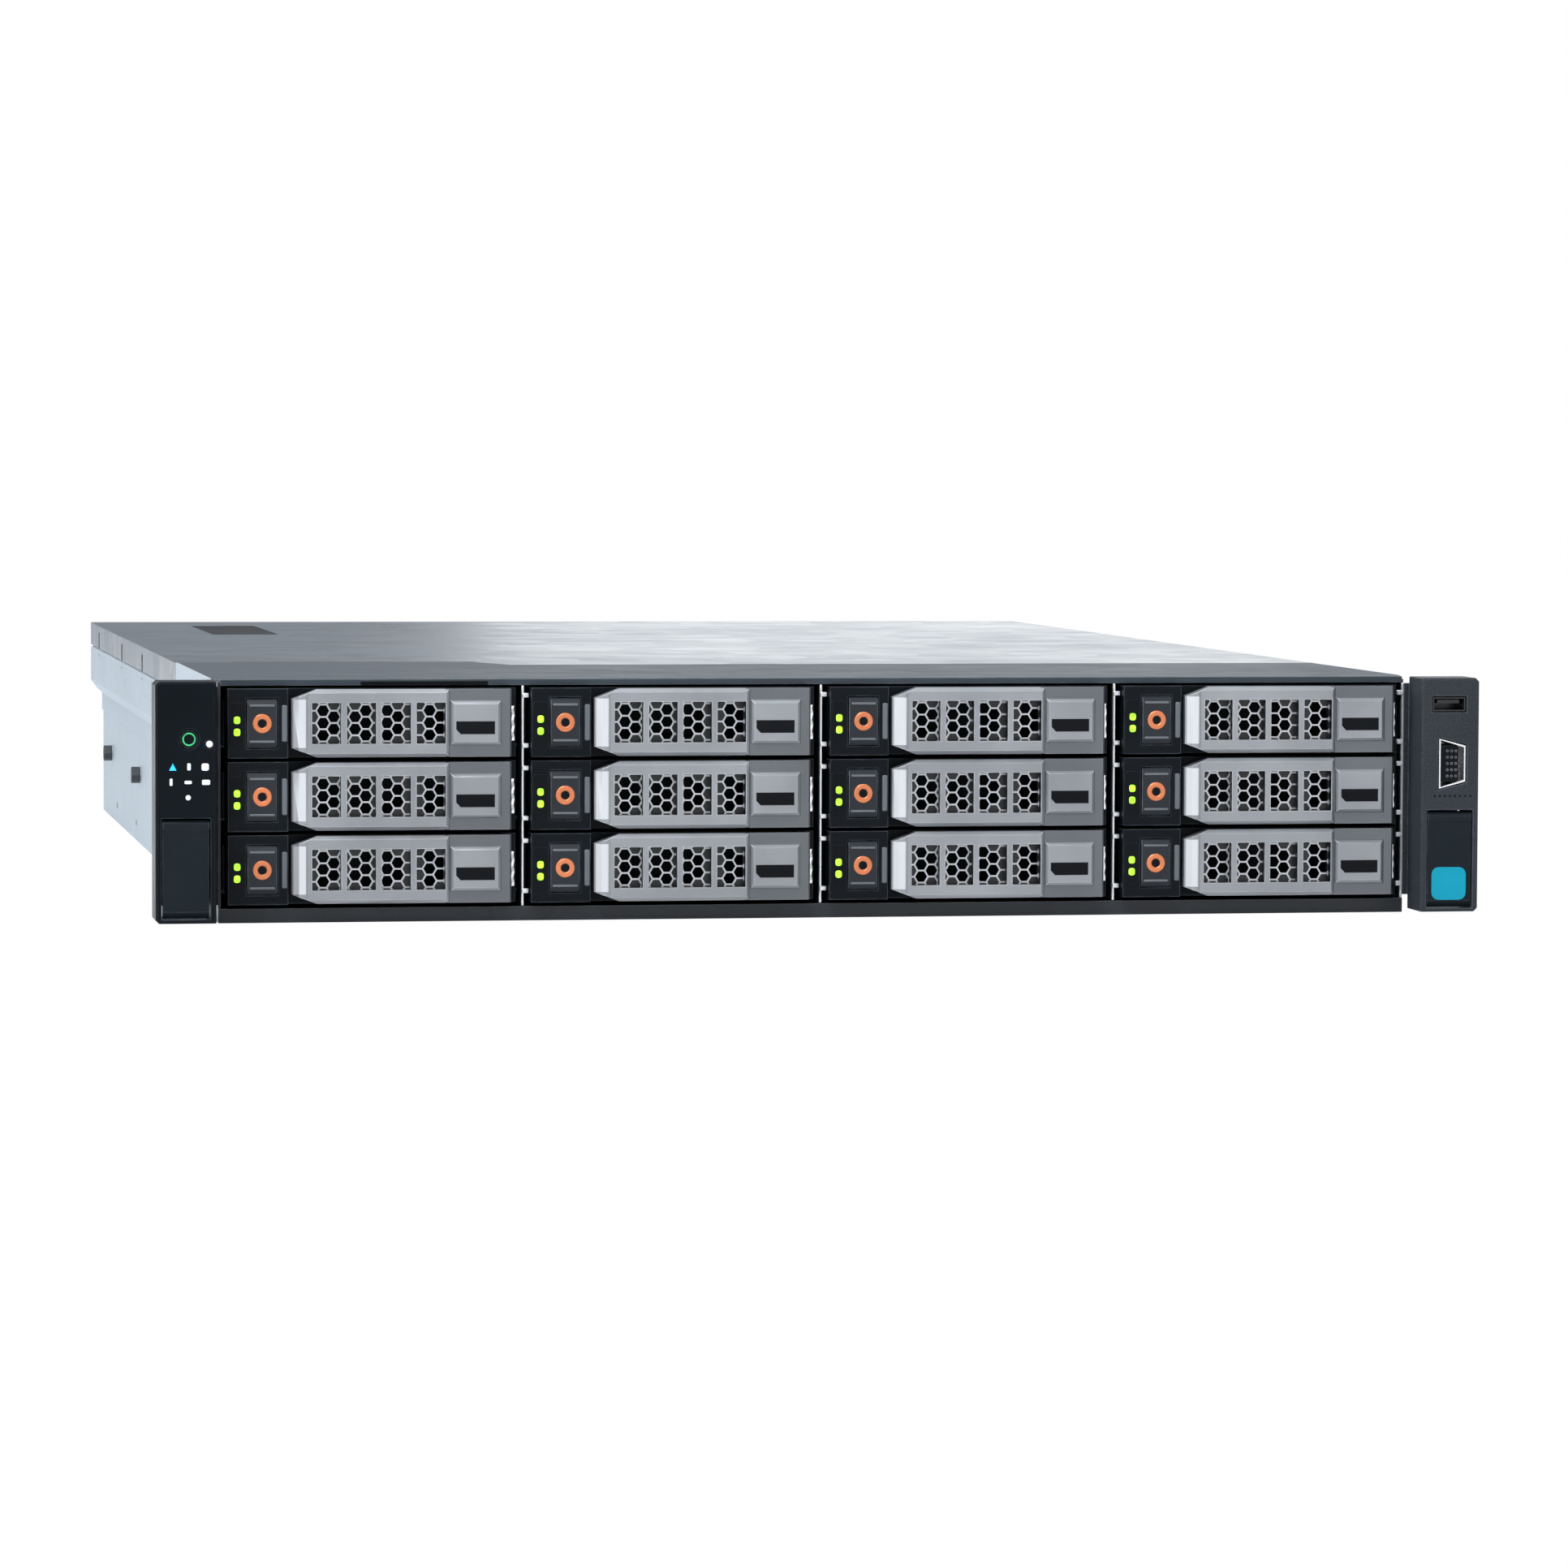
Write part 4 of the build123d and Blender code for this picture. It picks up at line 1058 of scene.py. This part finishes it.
@dataclass
class DriveFront:
    """What a drive's front carries: lamps, ring, bars, label and spring. Sizes are from its own centre."""

    lamp_x: float = -48.5
    lamp_heights: tuple[float, float] = (1.2, -3.1)
    lamp: Panel = Panel(2.3, 2.6, 0.8)
    window: Panel = Panel(5.4, 15.0, 1.0)
    block_front: float = -6.8
    ring_x: float = -39.6
    ring_radius: float = 2.5
    ring_band: float = 2.1
    button_front: float = -7.4
    button_bar: Panel = Panel(9.0, 0.8, 0.3)
    button_bar_heights: tuple[float, float] = (6.4, -6.4)
    bar_x: float = -31.6
    bar: Panel = Panel(1.9, 13.0, 0.5)
    label_x: float = 36.5
    label_front: float = -9.0
    strip: Corners = Corners(((6.9, 2.3), (-7.0, 2.3), (-7.0, -0.6), (-5.4, -2.3), (6.9, -2.3)))
    strip_z: float = -1.7
    proud: float = 0.18
    spring_x: float = 50.6
    spring_y: float = -2.25
    spring_ends: tuple[float, float] = (-6.6, 5.8)
    spring_size: tuple[float, float] = (0.9, 1.4)
    spring_swell: float = 0.45
    spring_waves: int = 3
    spring_points: int = 37

    def build(self, tag: str, x: float, z: float) -> None:
        """Makes the pieces of one drive's front.

        Args:
            tag: The drive's number.
            x: The middle of its column.
            z: The middle of its row.
        """
        drive, handle, button = f"drive_{tag}", f"handle_{tag}", f"release_button_{tag}"
        front, proud, face = self.block_front, self.proud, self.button_front
        ring_x = x + self.ring_x
        window = plate(self.window, front + 0.4, front - proud, 0.12).moved(x + self.lamp_x, 0, z)
        piece(f"lamp_window_{tag}", window, BLACK, drive)
        steps = ((front, 0.0), (front - proud - 0.15, 0.0), (front - proud - 0.35, 0.3))
        places = grid(x + self.lamp_x, z + np.array(self.lamp_heights))
        piece(f"lamps_{tag}", raised(self.lamp, steps).repeated(places), GREEN, drive)
        ring = hoop(self.ring_radius, self.ring_band, face + 0.3, face - 0.3)
        piece(f"ring_{tag}", ring.moved(ring_x, 0, z), COPPER, button)
        eye = plate(Disc(self.ring_radius - self.ring_band / 2), face + 0.3, face - 0.06, 0.05)
        piece(f"ring_eye_{tag}", eye.moved(ring_x, 0, z), BLACK, button)
        places = grid(ring_x, z + np.array(self.button_bar_heights))
        bars = plate(self.button_bar, face + 1.0, face - 0.12, 0.15).repeated(places)
        piece(f"button_bars_{tag}", bars, BAR, button)
        bar = plate(self.bar, front + 0.4, front - 0.3, 0.3).moved(x + self.bar_x, 0, z)
        piece(f"grey_bar_{tag}", bar, BAR, drive)
        strip = plate(self.strip, self.label_front + 0.3, self.label_front - 0.12, 0.08)
        strip = strip.moved(x + self.label_x, 0, z + self.strip_z)
        piece(f"label_strip_{tag}", strip, BLACK, handle)
        piece(f"contact_spring_{tag}", self.spring().moved(x, 0, z), BRIGHT, drive)

    def spring(self) -> Shell:
        """The contact spring beside the handle: a strip along a sine wave that runs up its height."""
        low, high = self.spring_ends
        height = np.linspace(low, high, self.spring_points)
        swell = self.spring_swell * np.sin((height - low) / (high - low) * self.spring_waves * 2 * np.pi)
        path = np.stack([self.spring_x + 0.25 * swell, self.spring_y - 0.35 * swell, height], axis=1)
        wide, thick = self.spring_size
        return ribbon(path, (wide, 0.0, 0.0), (0.0, thick, 0.0))


@dataclass
class Bay:
    """The cage's front: bright divider edges with their small tabs, and the drives in it."""

    columns: tuple[float, ...] = (-162.9, -54.3, 54.3, 162.9)
    rows: tuple[float, ...] = (71.35, 45.25, 19.15)
    divider_offset: float = 54.3
    divider_ends: tuple[float, float] = (5.4, 84.4)
    divider_width: float = 0.9
    divider_back: float = -1.0
    divider_front: float = -2.2
    tab: Panel = Panel(2.6, 1.7, 0.3)
    tab_heights: tuple[float, ...] = (9.5, -8.5)
    tab_offset: float = 0.9
    front: DriveFront = field(default_factory=DriveFront)

    def build(self) -> None:
        """Dresses the cage and all that stands in it."""
        dress("drive_cage", CAGE, 0.15)
        number = 0
        for z in self.rows:
            for x in self.columns:
                number += 1
                tag = f"{number:02d}"
                dress(f"drive_{tag}", BEZEL, 0.2)
                dress(f"handle_{tag}", SILVER, 0.22)
                dress(f"release_button_{tag}", BUTTON, 0.2)
                self.front.build(tag, x, z)
        self.dividers()

    def dividers(self) -> None:
        """Makes the bright edge on each divider, with a pair of tabs at every row."""
        low, high = self.divider_ends
        edge = plate(Panel(self.divider_width, high - low, 0.3), self.divider_back, self.divider_front, 0.2)
        tab = plate(self.tab, self.divider_back, self.divider_front - 0.3, 0.25)
        heights = np.add.outer(np.array(self.rows), np.array(self.tab_heights)).ravel()
        shells = []
        for column in self.columns:
            x = column + self.divider_offset
            side = -self.tab_offset if column == self.columns[-1] else self.tab_offset
            shells += [edge.moved(x, 0, (low + high) / 2), tab.repeated(grid(x + side, heights))]
        piece("divider_edges", joined(shells), BRIGHT, "chassis")


@dataclass
class Ears:
    """The two ears with their signs, sockets, small holes and latches."""

    face: float = -20.0
    power_place: tuple[float, float] = (-229.4, 66.5)
    power_ring: tuple[float, float] = (2.1, 0.55)
    sign_places: tuple[tuple[float, float], ...] = (
        (-235.1, 56.8), (-229.4, 56.8), (-223.7, 56.7), (-235.7, 51.4), (-229.7, 51.3), (-223.4, 51.3),
        (-229.7, 45.9))
    sign_size: float = 2.6
    hole: Disc = Disc(0.5, 10)
    hole_z: float = 43.7
    holes: tuple[float, float, int] = (224.6, 238.0, 8)
    video_place: tuple[float, float] = (231.3, 55.5)
    video_body: Panel = Panel(6.4, 13.6, 1.0)
    video_back: float = -9.0
    video_offset: float = -0.6
    video_columns: tuple[float, ...] = (-1.6, 0.0, 1.6)
    video_rows: tuple[float, float, int] = (-4.6, 4.6, 5)
    latch_x: float = 230.4
    latch_face: float = -19.0
    sticker: Panel = Panel(13.0, 12.0, 2.6)
    sticker_z: float = 11.6
    # a grey strip on each latch's top lip, as a painted highlight on the rounded lip
    lip_highlight: Panel = Panel(14.4, 1.0, 0.3)
    lip_highlight_z: float = 35.9

    def build(self) -> None:
        """Dresses both ears and adds what they carry."""
        dress("left_ear", LEFT_EAR, 0.35)
        dress("right_ear", RIGHT_EAR, 0.35)
        dress("left_latch", LATCH, 0.3)
        dress("right_latch", LATCH, 0.3)
        dress("front_ports", SOCKET, 0.1)
        dress("power_button", LEFT_EAR, 0.2)
        dress("id_button", PALE, 0.2)
        self.signs()
        self.small_holes()
        self.pins()
        patch = plate(self.sticker, self.latch_face, self.latch_face - 0.3, 0.08)
        patch = patch.moved(self.latch_x, 0, self.sticker_z)
        piece("blue_patch", patch, BLUE, "right_latch")
        # painted highlight: a grey strip along each latch's lip
        lip_highlight = plate(self.lip_highlight, self.latch_face, self.latch_face - 0.25, 0.08)
        for side, x in (("left", -self.latch_x), ("right", self.latch_x)):
            piece(f"{side}_lip", lip_highlight.moved(x, 0, self.lip_highlight_z), BAR, f"{side}_latch")

    def signs(self) -> None:
        """Makes plain generic signs: a green hoop for the power, and bars, dots and squares below it."""
        size, face = self.sign_size, self.face
        x, z = self.power_place
        ring = hoop(*self.power_ring, face - 0.1, face - 0.45).moved(x, 0, z)
        piece("power_sign", ring, POWER, "power_button")
        shapes: list[Outline] = [Corners(((size / 2, -size / 2), (0.01, size / 2), (-size / 2, -size / 2))),
                                 Panel(size * 0.5, size, 0.5), Panel(size, size, 0.7),
                                 Panel(size * 0.4, size, 0.4), Panel(size, size * 0.45, 0.4),
                                 Panel(size * 1.1, size * 0.7, 0.4), Disc(size * 0.36)]
        network, *others = [plate(shape, face + 0.3, face - 0.1, 0.05).moved(x, 0, z)
                            for (x, z), shape in zip(self.sign_places, shapes)]
        piece("network_sign", network, BLUE_SIGN, "chassis")
        piece("status_signs", joined(others), SIGN, "chassis")

    def small_holes(self) -> None:
        """Makes the row of small dark holes over the right latch."""
        places = grid(np.linspace(*self.holes), self.hole_z)
        hole = plate(self.hole, self.face + 0.3, self.face - 0.05, 0.04)
        piece("ear_holes", hole.repeated(places), BLACK, "chassis")

    def pins(self) -> None:
        """Makes the video socket's dark body with its three rows of holes' bright rims."""
        x, z = self.video_place
        core = plate(self.video_body, self.video_back, self.face + 1.6, 0.3)
        core = core.moved(x + self.video_offset, 0, z)
        piece("video_core", core, BLACK, "chassis")
        places = grid(x + np.array(self.video_columns), z + np.linspace(*self.video_rows))
        pin = hoop(0.4, 0.24, self.face + 1.8, self.face + 1.5, 8)
        piece("video_contacts", pin.repeated(places), BAR, "chassis")


@dataclass
class Casing:
    """The cover, the fixed panel, the side walls and their small fittings."""

    slot: Panel = Panel(46.0, 1.4, 0.6)
    slot_x: float = -144.0
    slot_z: float = 85.35
    slot_front: float = -2.12
    rivet: Disc = Disc(1.9, 14)
    rivet_steps: tuple[tuple[float, float], ...] = ((-0.3, 0.0), (0.15, 0.2), (0.35, 0.9))
    rivet_rows: tuple[float, ...] = (205.0, 330.0, 455.0, 580.0)
    rivet_walls: tuple[tuple[float, float], ...] = ((8.0, 215.3), (68.0, 220.0))
    pin_head: Disc = Disc(2.1, 14)
    pin_dot: Disc = Disc(0.9, 10)
    pin_rows: tuple[float, ...] = (353.0, 479.0, 636.0)
    pin_z: float = 78.5
    pin_steps: tuple[tuple[float, float], ...] = ((218.6, 0.0), (219.9, 0.0), (220.1, 0.3))
    dot_rise: float = 5.0

    def build(self) -> None:
        """Dresses the casing and adds its fittings."""
        dress("top_cover", TOP, 0.25)
        dress("front_top_panel", FRONT_TOP_SHADED, 0.2)
        dress("chassis", SIDE, 0.15)
        dress("cover_latch", LEVER, 0.3)
        slot = plate(self.slot, -1.5, self.slot_front, 0.05).moved(self.slot_x, 0, self.slot_z)
        piece("lip_slot", slot, BLACK, "chassis")
        self.rivets()
        self.pin_heads()

    def rivets(self) -> None:
        """Makes the walls' low domed rivets, in two rows on each side."""
        shells = []
        for side in (-1, 1):
            for y in self.rivet_rows:
                for z, wall in self.rivet_walls:
                    steps = [(side * (wall + rise), inset) for rise, inset in self.rivet_steps]
                    shells.append(raised(self.rivet, steps, Facing.SIDE).moved(0, y, z))
        piece("side_rivets", joined(shells), SIDE, "chassis")

    def pin_heads(self) -> None:
        """Makes the dark heads of the cover's pins, with a dot above and below each."""
        shells = []
        for side in (-1, 1):
            steps = [(side * reach, inset) for reach, inset in self.pin_steps]
            head, dot = (raised(outline, steps, Facing.SIDE) for outline in (self.pin_head, self.pin_dot))
            for y in self.pin_rows:
                shells.append(head.moved(0, y, self.pin_z))
                shells += [dot.moved(0, y, self.pin_z + rise) for rise in (-self.dot_rise, self.dot_rise)]
        piece("pin_heads", joined(shells), PIN, "chassis")


@dataclass
class Inside:
    """What shows with the cover off: boards, coolers, memory and fans."""

    boards: tuple[str, ...] = ("motherboard", "memory_modules", "backplane")
    fans: int = 4

    def build(self) -> None:
        """Dresses the inner nodes."""
        for node in self.boards:
            dress(node, CIRCUIT)
        dress("heat_sinks", FINS)
        dress("fan_wall", FAN, 0.3)
        for index in range(self.fans):
            dress(f"fan_rotor_{index + 1}", FAN, 0.2)


@dataclass
class Back:
    """The rear panel with its sockets and screws, and the supplies with what their rear faces carry."""

    rear: float = 680.0
    supply_left: float = -213.1
    supply_pitch: float = 85.8
    supply_z: float = 20.9
    fan: Disc = Disc(15.8, 28)
    guard_x: float = 21.0
    guard_rings: tuple[float, ...] = (14.6, 11.2, 7.8, 4.4)
    guard_band: float = 0.8
    guard_bars: tuple[Panel, ...] = (Panel(30.0, 0.9, 0.2), Panel(0.9, 30.0, 0.2))
    hub: Disc = Disc(2.4, 16)
    inlet_x: float = 66.6
    blade: Panel = Panel(1.3, 4.6, 0.2)
    blade_steps: tuple[float, ...] = (-6.0, 0.0, 6.0)
    supply_lamp: Panel = Panel(2.4, 2.4, 0.8)
    supply_lamp_place: tuple[float, float] = (45.6, 11.0)
    jacks: tuple[float, ...] = (60.0, 78.0, 96.0, 114.0)
    jack: Panel = Panel(11.8, 8.2, 0.3)
    jack_z: float = 15.8
    jack_contact: Panel = Panel(0.5, 3.2, 0.1)
    jack_contact_z: float = 17.6
    jack_contacts: tuple[float, float, int] = (-3.85, 3.85, 8)
    jack_lamp: Panel = Panel(2.2, 1.2, 0.2)
    jack_lamp_z: float = 22.0
    jack_lamps: tuple[float, float] = (-4.6, 4.6)
    video: Panel = Panel(23.6, 7.6, 1.4)
    video_place: tuple[float, float] = (20.0, 15.1)
    video_contact: Disc = Disc(0.55, 10)
    video_columns: tuple[float, float, int] = (-7.8, 7.8, 7)
    video_rows: tuple[float, ...] = (-2.2, 0.0, 2.2)
    screw: Disc = Disc(2.7, 20)
    screws: tuple[tuple[float, float], ...] = ((211.0, 8.0), (211.0, 46.0), (-37.0, 8.0))
    cross: tuple[Panel, ...] = (Panel(3.0, 0.6, 0.1), Panel(0.6, 3.0, 0.1))

    def build(self) -> None:
        """Dresses the rear's nodes and adds what they carry."""
        for index in (1, 2):
            dress(f"psu_{index}", SUPPLY, 0.2)
            self.supply_face(index, self.supply_left + (index - 1) * self.supply_pitch)
        self.sockets()
        self.screw_heads()
        dress("rear_panel", REAR, 0.15)

    def facing_back(self, outline: Outline, back: float, front: float, bevel: float) -> Shell:
        """A plate that faces the rear, with its depths counted from the rear face."""
        return plate(outline, self.rear + back, self.rear + front, bevel)

    def supply_face(self, index: int, left: float) -> None:
        """Makes a supply's wire guard before its dark fan, the inlet's contacts and the lamp.

        Args:
            index: The supply's number.
            left: The place of its left wall.
        """
        body, x, z = f"psu_{index}", left + self.guard_x, self.supply_z
        deep = self.facing_back(self.fan, -6.1, -5.7, 0.1).moved(x, 0, z)
        piece(f"supply_fan_{index}", deep, BLACK, body)
        wires = [hoop(radius, self.guard_band, self.rear - 4.2, self.rear - 3.2)
                 for radius in self.guard_rings]
        wires += [self.facing_back(bar, -4.9, -4.3, 0.1) for bar in self.guard_bars]
        wires.append(self.facing_back(self.hub, -4.2, -3.0, 0.3))
        piece(f"supply_guard_{index}", joined(wires).moved(x, 0, z), BRIGHT, body)
        places = grid(left + self.inlet_x + np.array(self.blade_steps), z)
        blades = self.facing_back(self.blade, -2.1, -0.5, 0.2).repeated(places)
        piece(f"inlet_blades_{index}", blades, BRIGHT, body)
        across, up = self.supply_lamp_place
        lamp = self.facing_back(self.supply_lamp, -0.05, 0.12, 0.05).moved(left + across, 0, z + up)
        piece(f"supply_lamp_{index}", lamp, GREEN, body)

    def sockets(self) -> None:
        """Fills the network and video sockets with dark inserts, and adds their contacts and lamps."""
        jacks = np.array(self.jacks)
        rows = np.add.outer(jacks, np.linspace(*self.jack_contacts)).ravel()
        pairs = np.add.outer(jacks, np.array(self.jack_lamps)).ravel()
        x, z = self.video_place
        holes = grid(x + np.linspace(*self.video_columns), z + np.array(self.video_rows))
        inserts = [self.facing_back(self.jack, -15.0, -1.5, 0.1).repeated(grid(jacks, self.jack_z)),
                   self.facing_back(self.video, -2.0, -0.8, 0.2).moved(x, 0, z)]
        rows = grid(rows, self.jack_contact_z)
        contacts = [self.facing_back(self.jack_contact, -1.6, -1.3, 0.05).repeated(rows),
                    self.facing_back(self.video_contact, -0.9, -0.6, 0.05).repeated(holes)]
        lamps = self.facing_back(self.jack_lamp, -0.05, 0.1, 0.04)
        lamps = lamps.repeated(grid(pairs, self.jack_lamp_z))
        piece("socket_inserts", joined(inserts), BLACK, "chassis")
        piece("socket_contacts", joined(contacts), COPPER, "chassis")
        piece("socket_lamps", lamps, GREEN, "chassis")

    def screw_heads(self) -> None:
        """Makes the rear's screw heads, each with a crossed slot."""
        places = np.array([(x, 0.0, z) for x, z in self.screws])
        heads = self.facing_back(self.screw, -0.05, 0.5, 0.25).repeated(places)
        piece("rear_screws", heads, BRIGHT, "chassis")
        slots = [self.facing_back(bar, 0.45, 0.53, 0.02).repeated(places) for bar in self.cross]
        piece("rear_screw_slots", joined(slots), BLACK, "chassis")


@dataclass(frozen=True)
class SoftLamp:
    """A square soft lamp that looks at the object's middle. Lengths are in metres, the power in watts."""

    name: str
    place: tuple[float, float, float]
    size: float
    power: float
    target: tuple[float, float, float] = (0.0, 0.2, 0.04)

    def build(self) -> None:
        """Hangs the lamp, unseen by the camera."""
        data = bpy.data.lights.new(self.name, "AREA")
        data.size = self.size
        data.energy = self.power
        made = bpy.data.objects.new(self.name, data)
        made.visible_camera = False
        towards = Vector(self.target) - Vector(self.place)
        turned = towards.to_track_quat("-Z", "Y").to_matrix().to_4x4()
        made.matrix_world = Matrix.Translation(self.place) @ turned
        bpy.context.scene.collection.objects.link(made)


@dataclass
class Studio:
    """The floor, the lights and the camera."""

    position: tuple[float, float, float] = (-0.39499, -2.1746, 0.17106)
    yaw: float = 9.96
    pitch: float = 3.18
    roll: float = 0.22
    lens: float = 140.41
    reach: float = 30.0
    floor_z: float = -0.0003
    floor_tone: float = 0.86
    floor_white: float = 0.99
    sky: Colour = (0.78, 0.82, 0.87)
    sky_height: float = 0.9
    sky_strengths: tuple[float, float] = (0.16, 1.3)
    lamps: tuple[SoftLamp, ...] = (
        SoftLamp("key", (-1.0, -1.3, 2.7), 1.8, 75.0), SoftLamp("side", (-2.6, 0.3, 1.0), 1.6, 26.0),
        SoftLamp("fill", (1.6, -2.4, 1.0), 1.6, 12.0), SoftLamp("back", (-1.9, 2.8, 1.5), 1.6, 22.0),
        SoftLamp("sheen", (0.9, 3.1, 0.5), 1.3, 8.0))

    def build(self) -> None:
        """Sets the view, the floor and the light."""
        self.camera()
        self.floor()
        self.world()
        for lamp in self.lamps:
            lamp.build()

    def camera(self) -> None:
        """Places the camera as the photograph's was: turned by its yaw, pitch and roll."""
        yaw, pitch, roll = radians(self.yaw), radians(self.pitch), radians(self.roll)
        forward = Vector((sin(yaw) * cos(pitch), cos(yaw) * cos(pitch), -sin(pitch)))
        right = Vector((cos(yaw), -sin(yaw), 0.0))
        up = right.cross(forward)
        across = right * cos(roll) + up * sin(roll)
        above = up * cos(roll) - right * sin(roll)
        turned = Matrix((across, above, -forward)).transposed().to_4x4()
        data = bpy.data.cameras.new("camera")
        data.lens = self.lens
        data.sensor_width = 36.0
        data.clip_end = 100.0
        camera = bpy.data.objects.new("camera", data)
        camera.matrix_world = Matrix.Translation(self.position) @ turned
        bpy.context.scene.collection.objects.link(camera)
        bpy.context.scene.camera = camera

    def floor(self) -> None:
        """Lays a wide pale floor that the camera sees as nearly white."""
        mesh = bpy.data.meshes.new("floor")
        corners = [(side * self.reach, rise * self.reach, self.floor_z)
                   for side, rise in ((-1, -1), (1, -1), (1, 1), (-1, 1))]
        mesh.from_pydata(corners, [], [(0, 1, 2, 3)])
        recipe = Recipe.fresh("floor_finish")
        glow = recipe.add("ShaderNodeEmission", Color=(1.0, 1.0, 1.0))
        path = recipe.add("ShaderNodeLightPath")
        seen = recipe.math("MULTIPLY", path.outputs["Is Camera Ray"], self.floor_white)
        recipe.mixed(seen, recipe.shader, glow, "Material Output")
        tone = (self.floor_tone,) * 3
        mesh.materials.append(recipe.done(Base_Color=tone, Roughness=0.9, Specular_IOR_Level=0.1))
        floor = bpy.data.objects.new("floor", mesh)
        bpy.context.scene.collection.objects.link(floor)

    def world(self) -> None:
        """Surrounds the object with a pale light, brightest overhead, and white to the camera."""
        world = bpy.data.worlds.new("studio")
        bpy.context.scene.world = world
        world.use_nodes = True
        nodes = Nodes(world.node_tree)
        shine = nodes.tree.nodes["Background"]
        parts = nodes.add("ShaderNodeSeparateXYZ", Vector=nodes.texture.outputs["Generated"])
        nodes.feed(shine, "Color", self.sky)
        strength = nodes.spread(parts.outputs["Z"], 0.0, self.sky_height, *self.sky_strengths)
        nodes.feed(shine, "Strength", strength)
        white = nodes.add("ShaderNodeBackground", Color=(1.0, 1.0, 1.0))
        path = nodes.add("ShaderNodeLightPath")
        nodes.mixed(path.outputs["Is Camera Ray"], shine, white, "World Output")


def main() -> None:
    """Builds every sub-assembly in order."""
    bpy.context.scene.view_settings.view_transform = "Standard"
    for part in (Studio(), Casing(), Bay(), Ears(), Inside(), Back()):
        log.info("building %s", type(part).__name__)
        part.build()


if __name__ == "__main__":
    main()
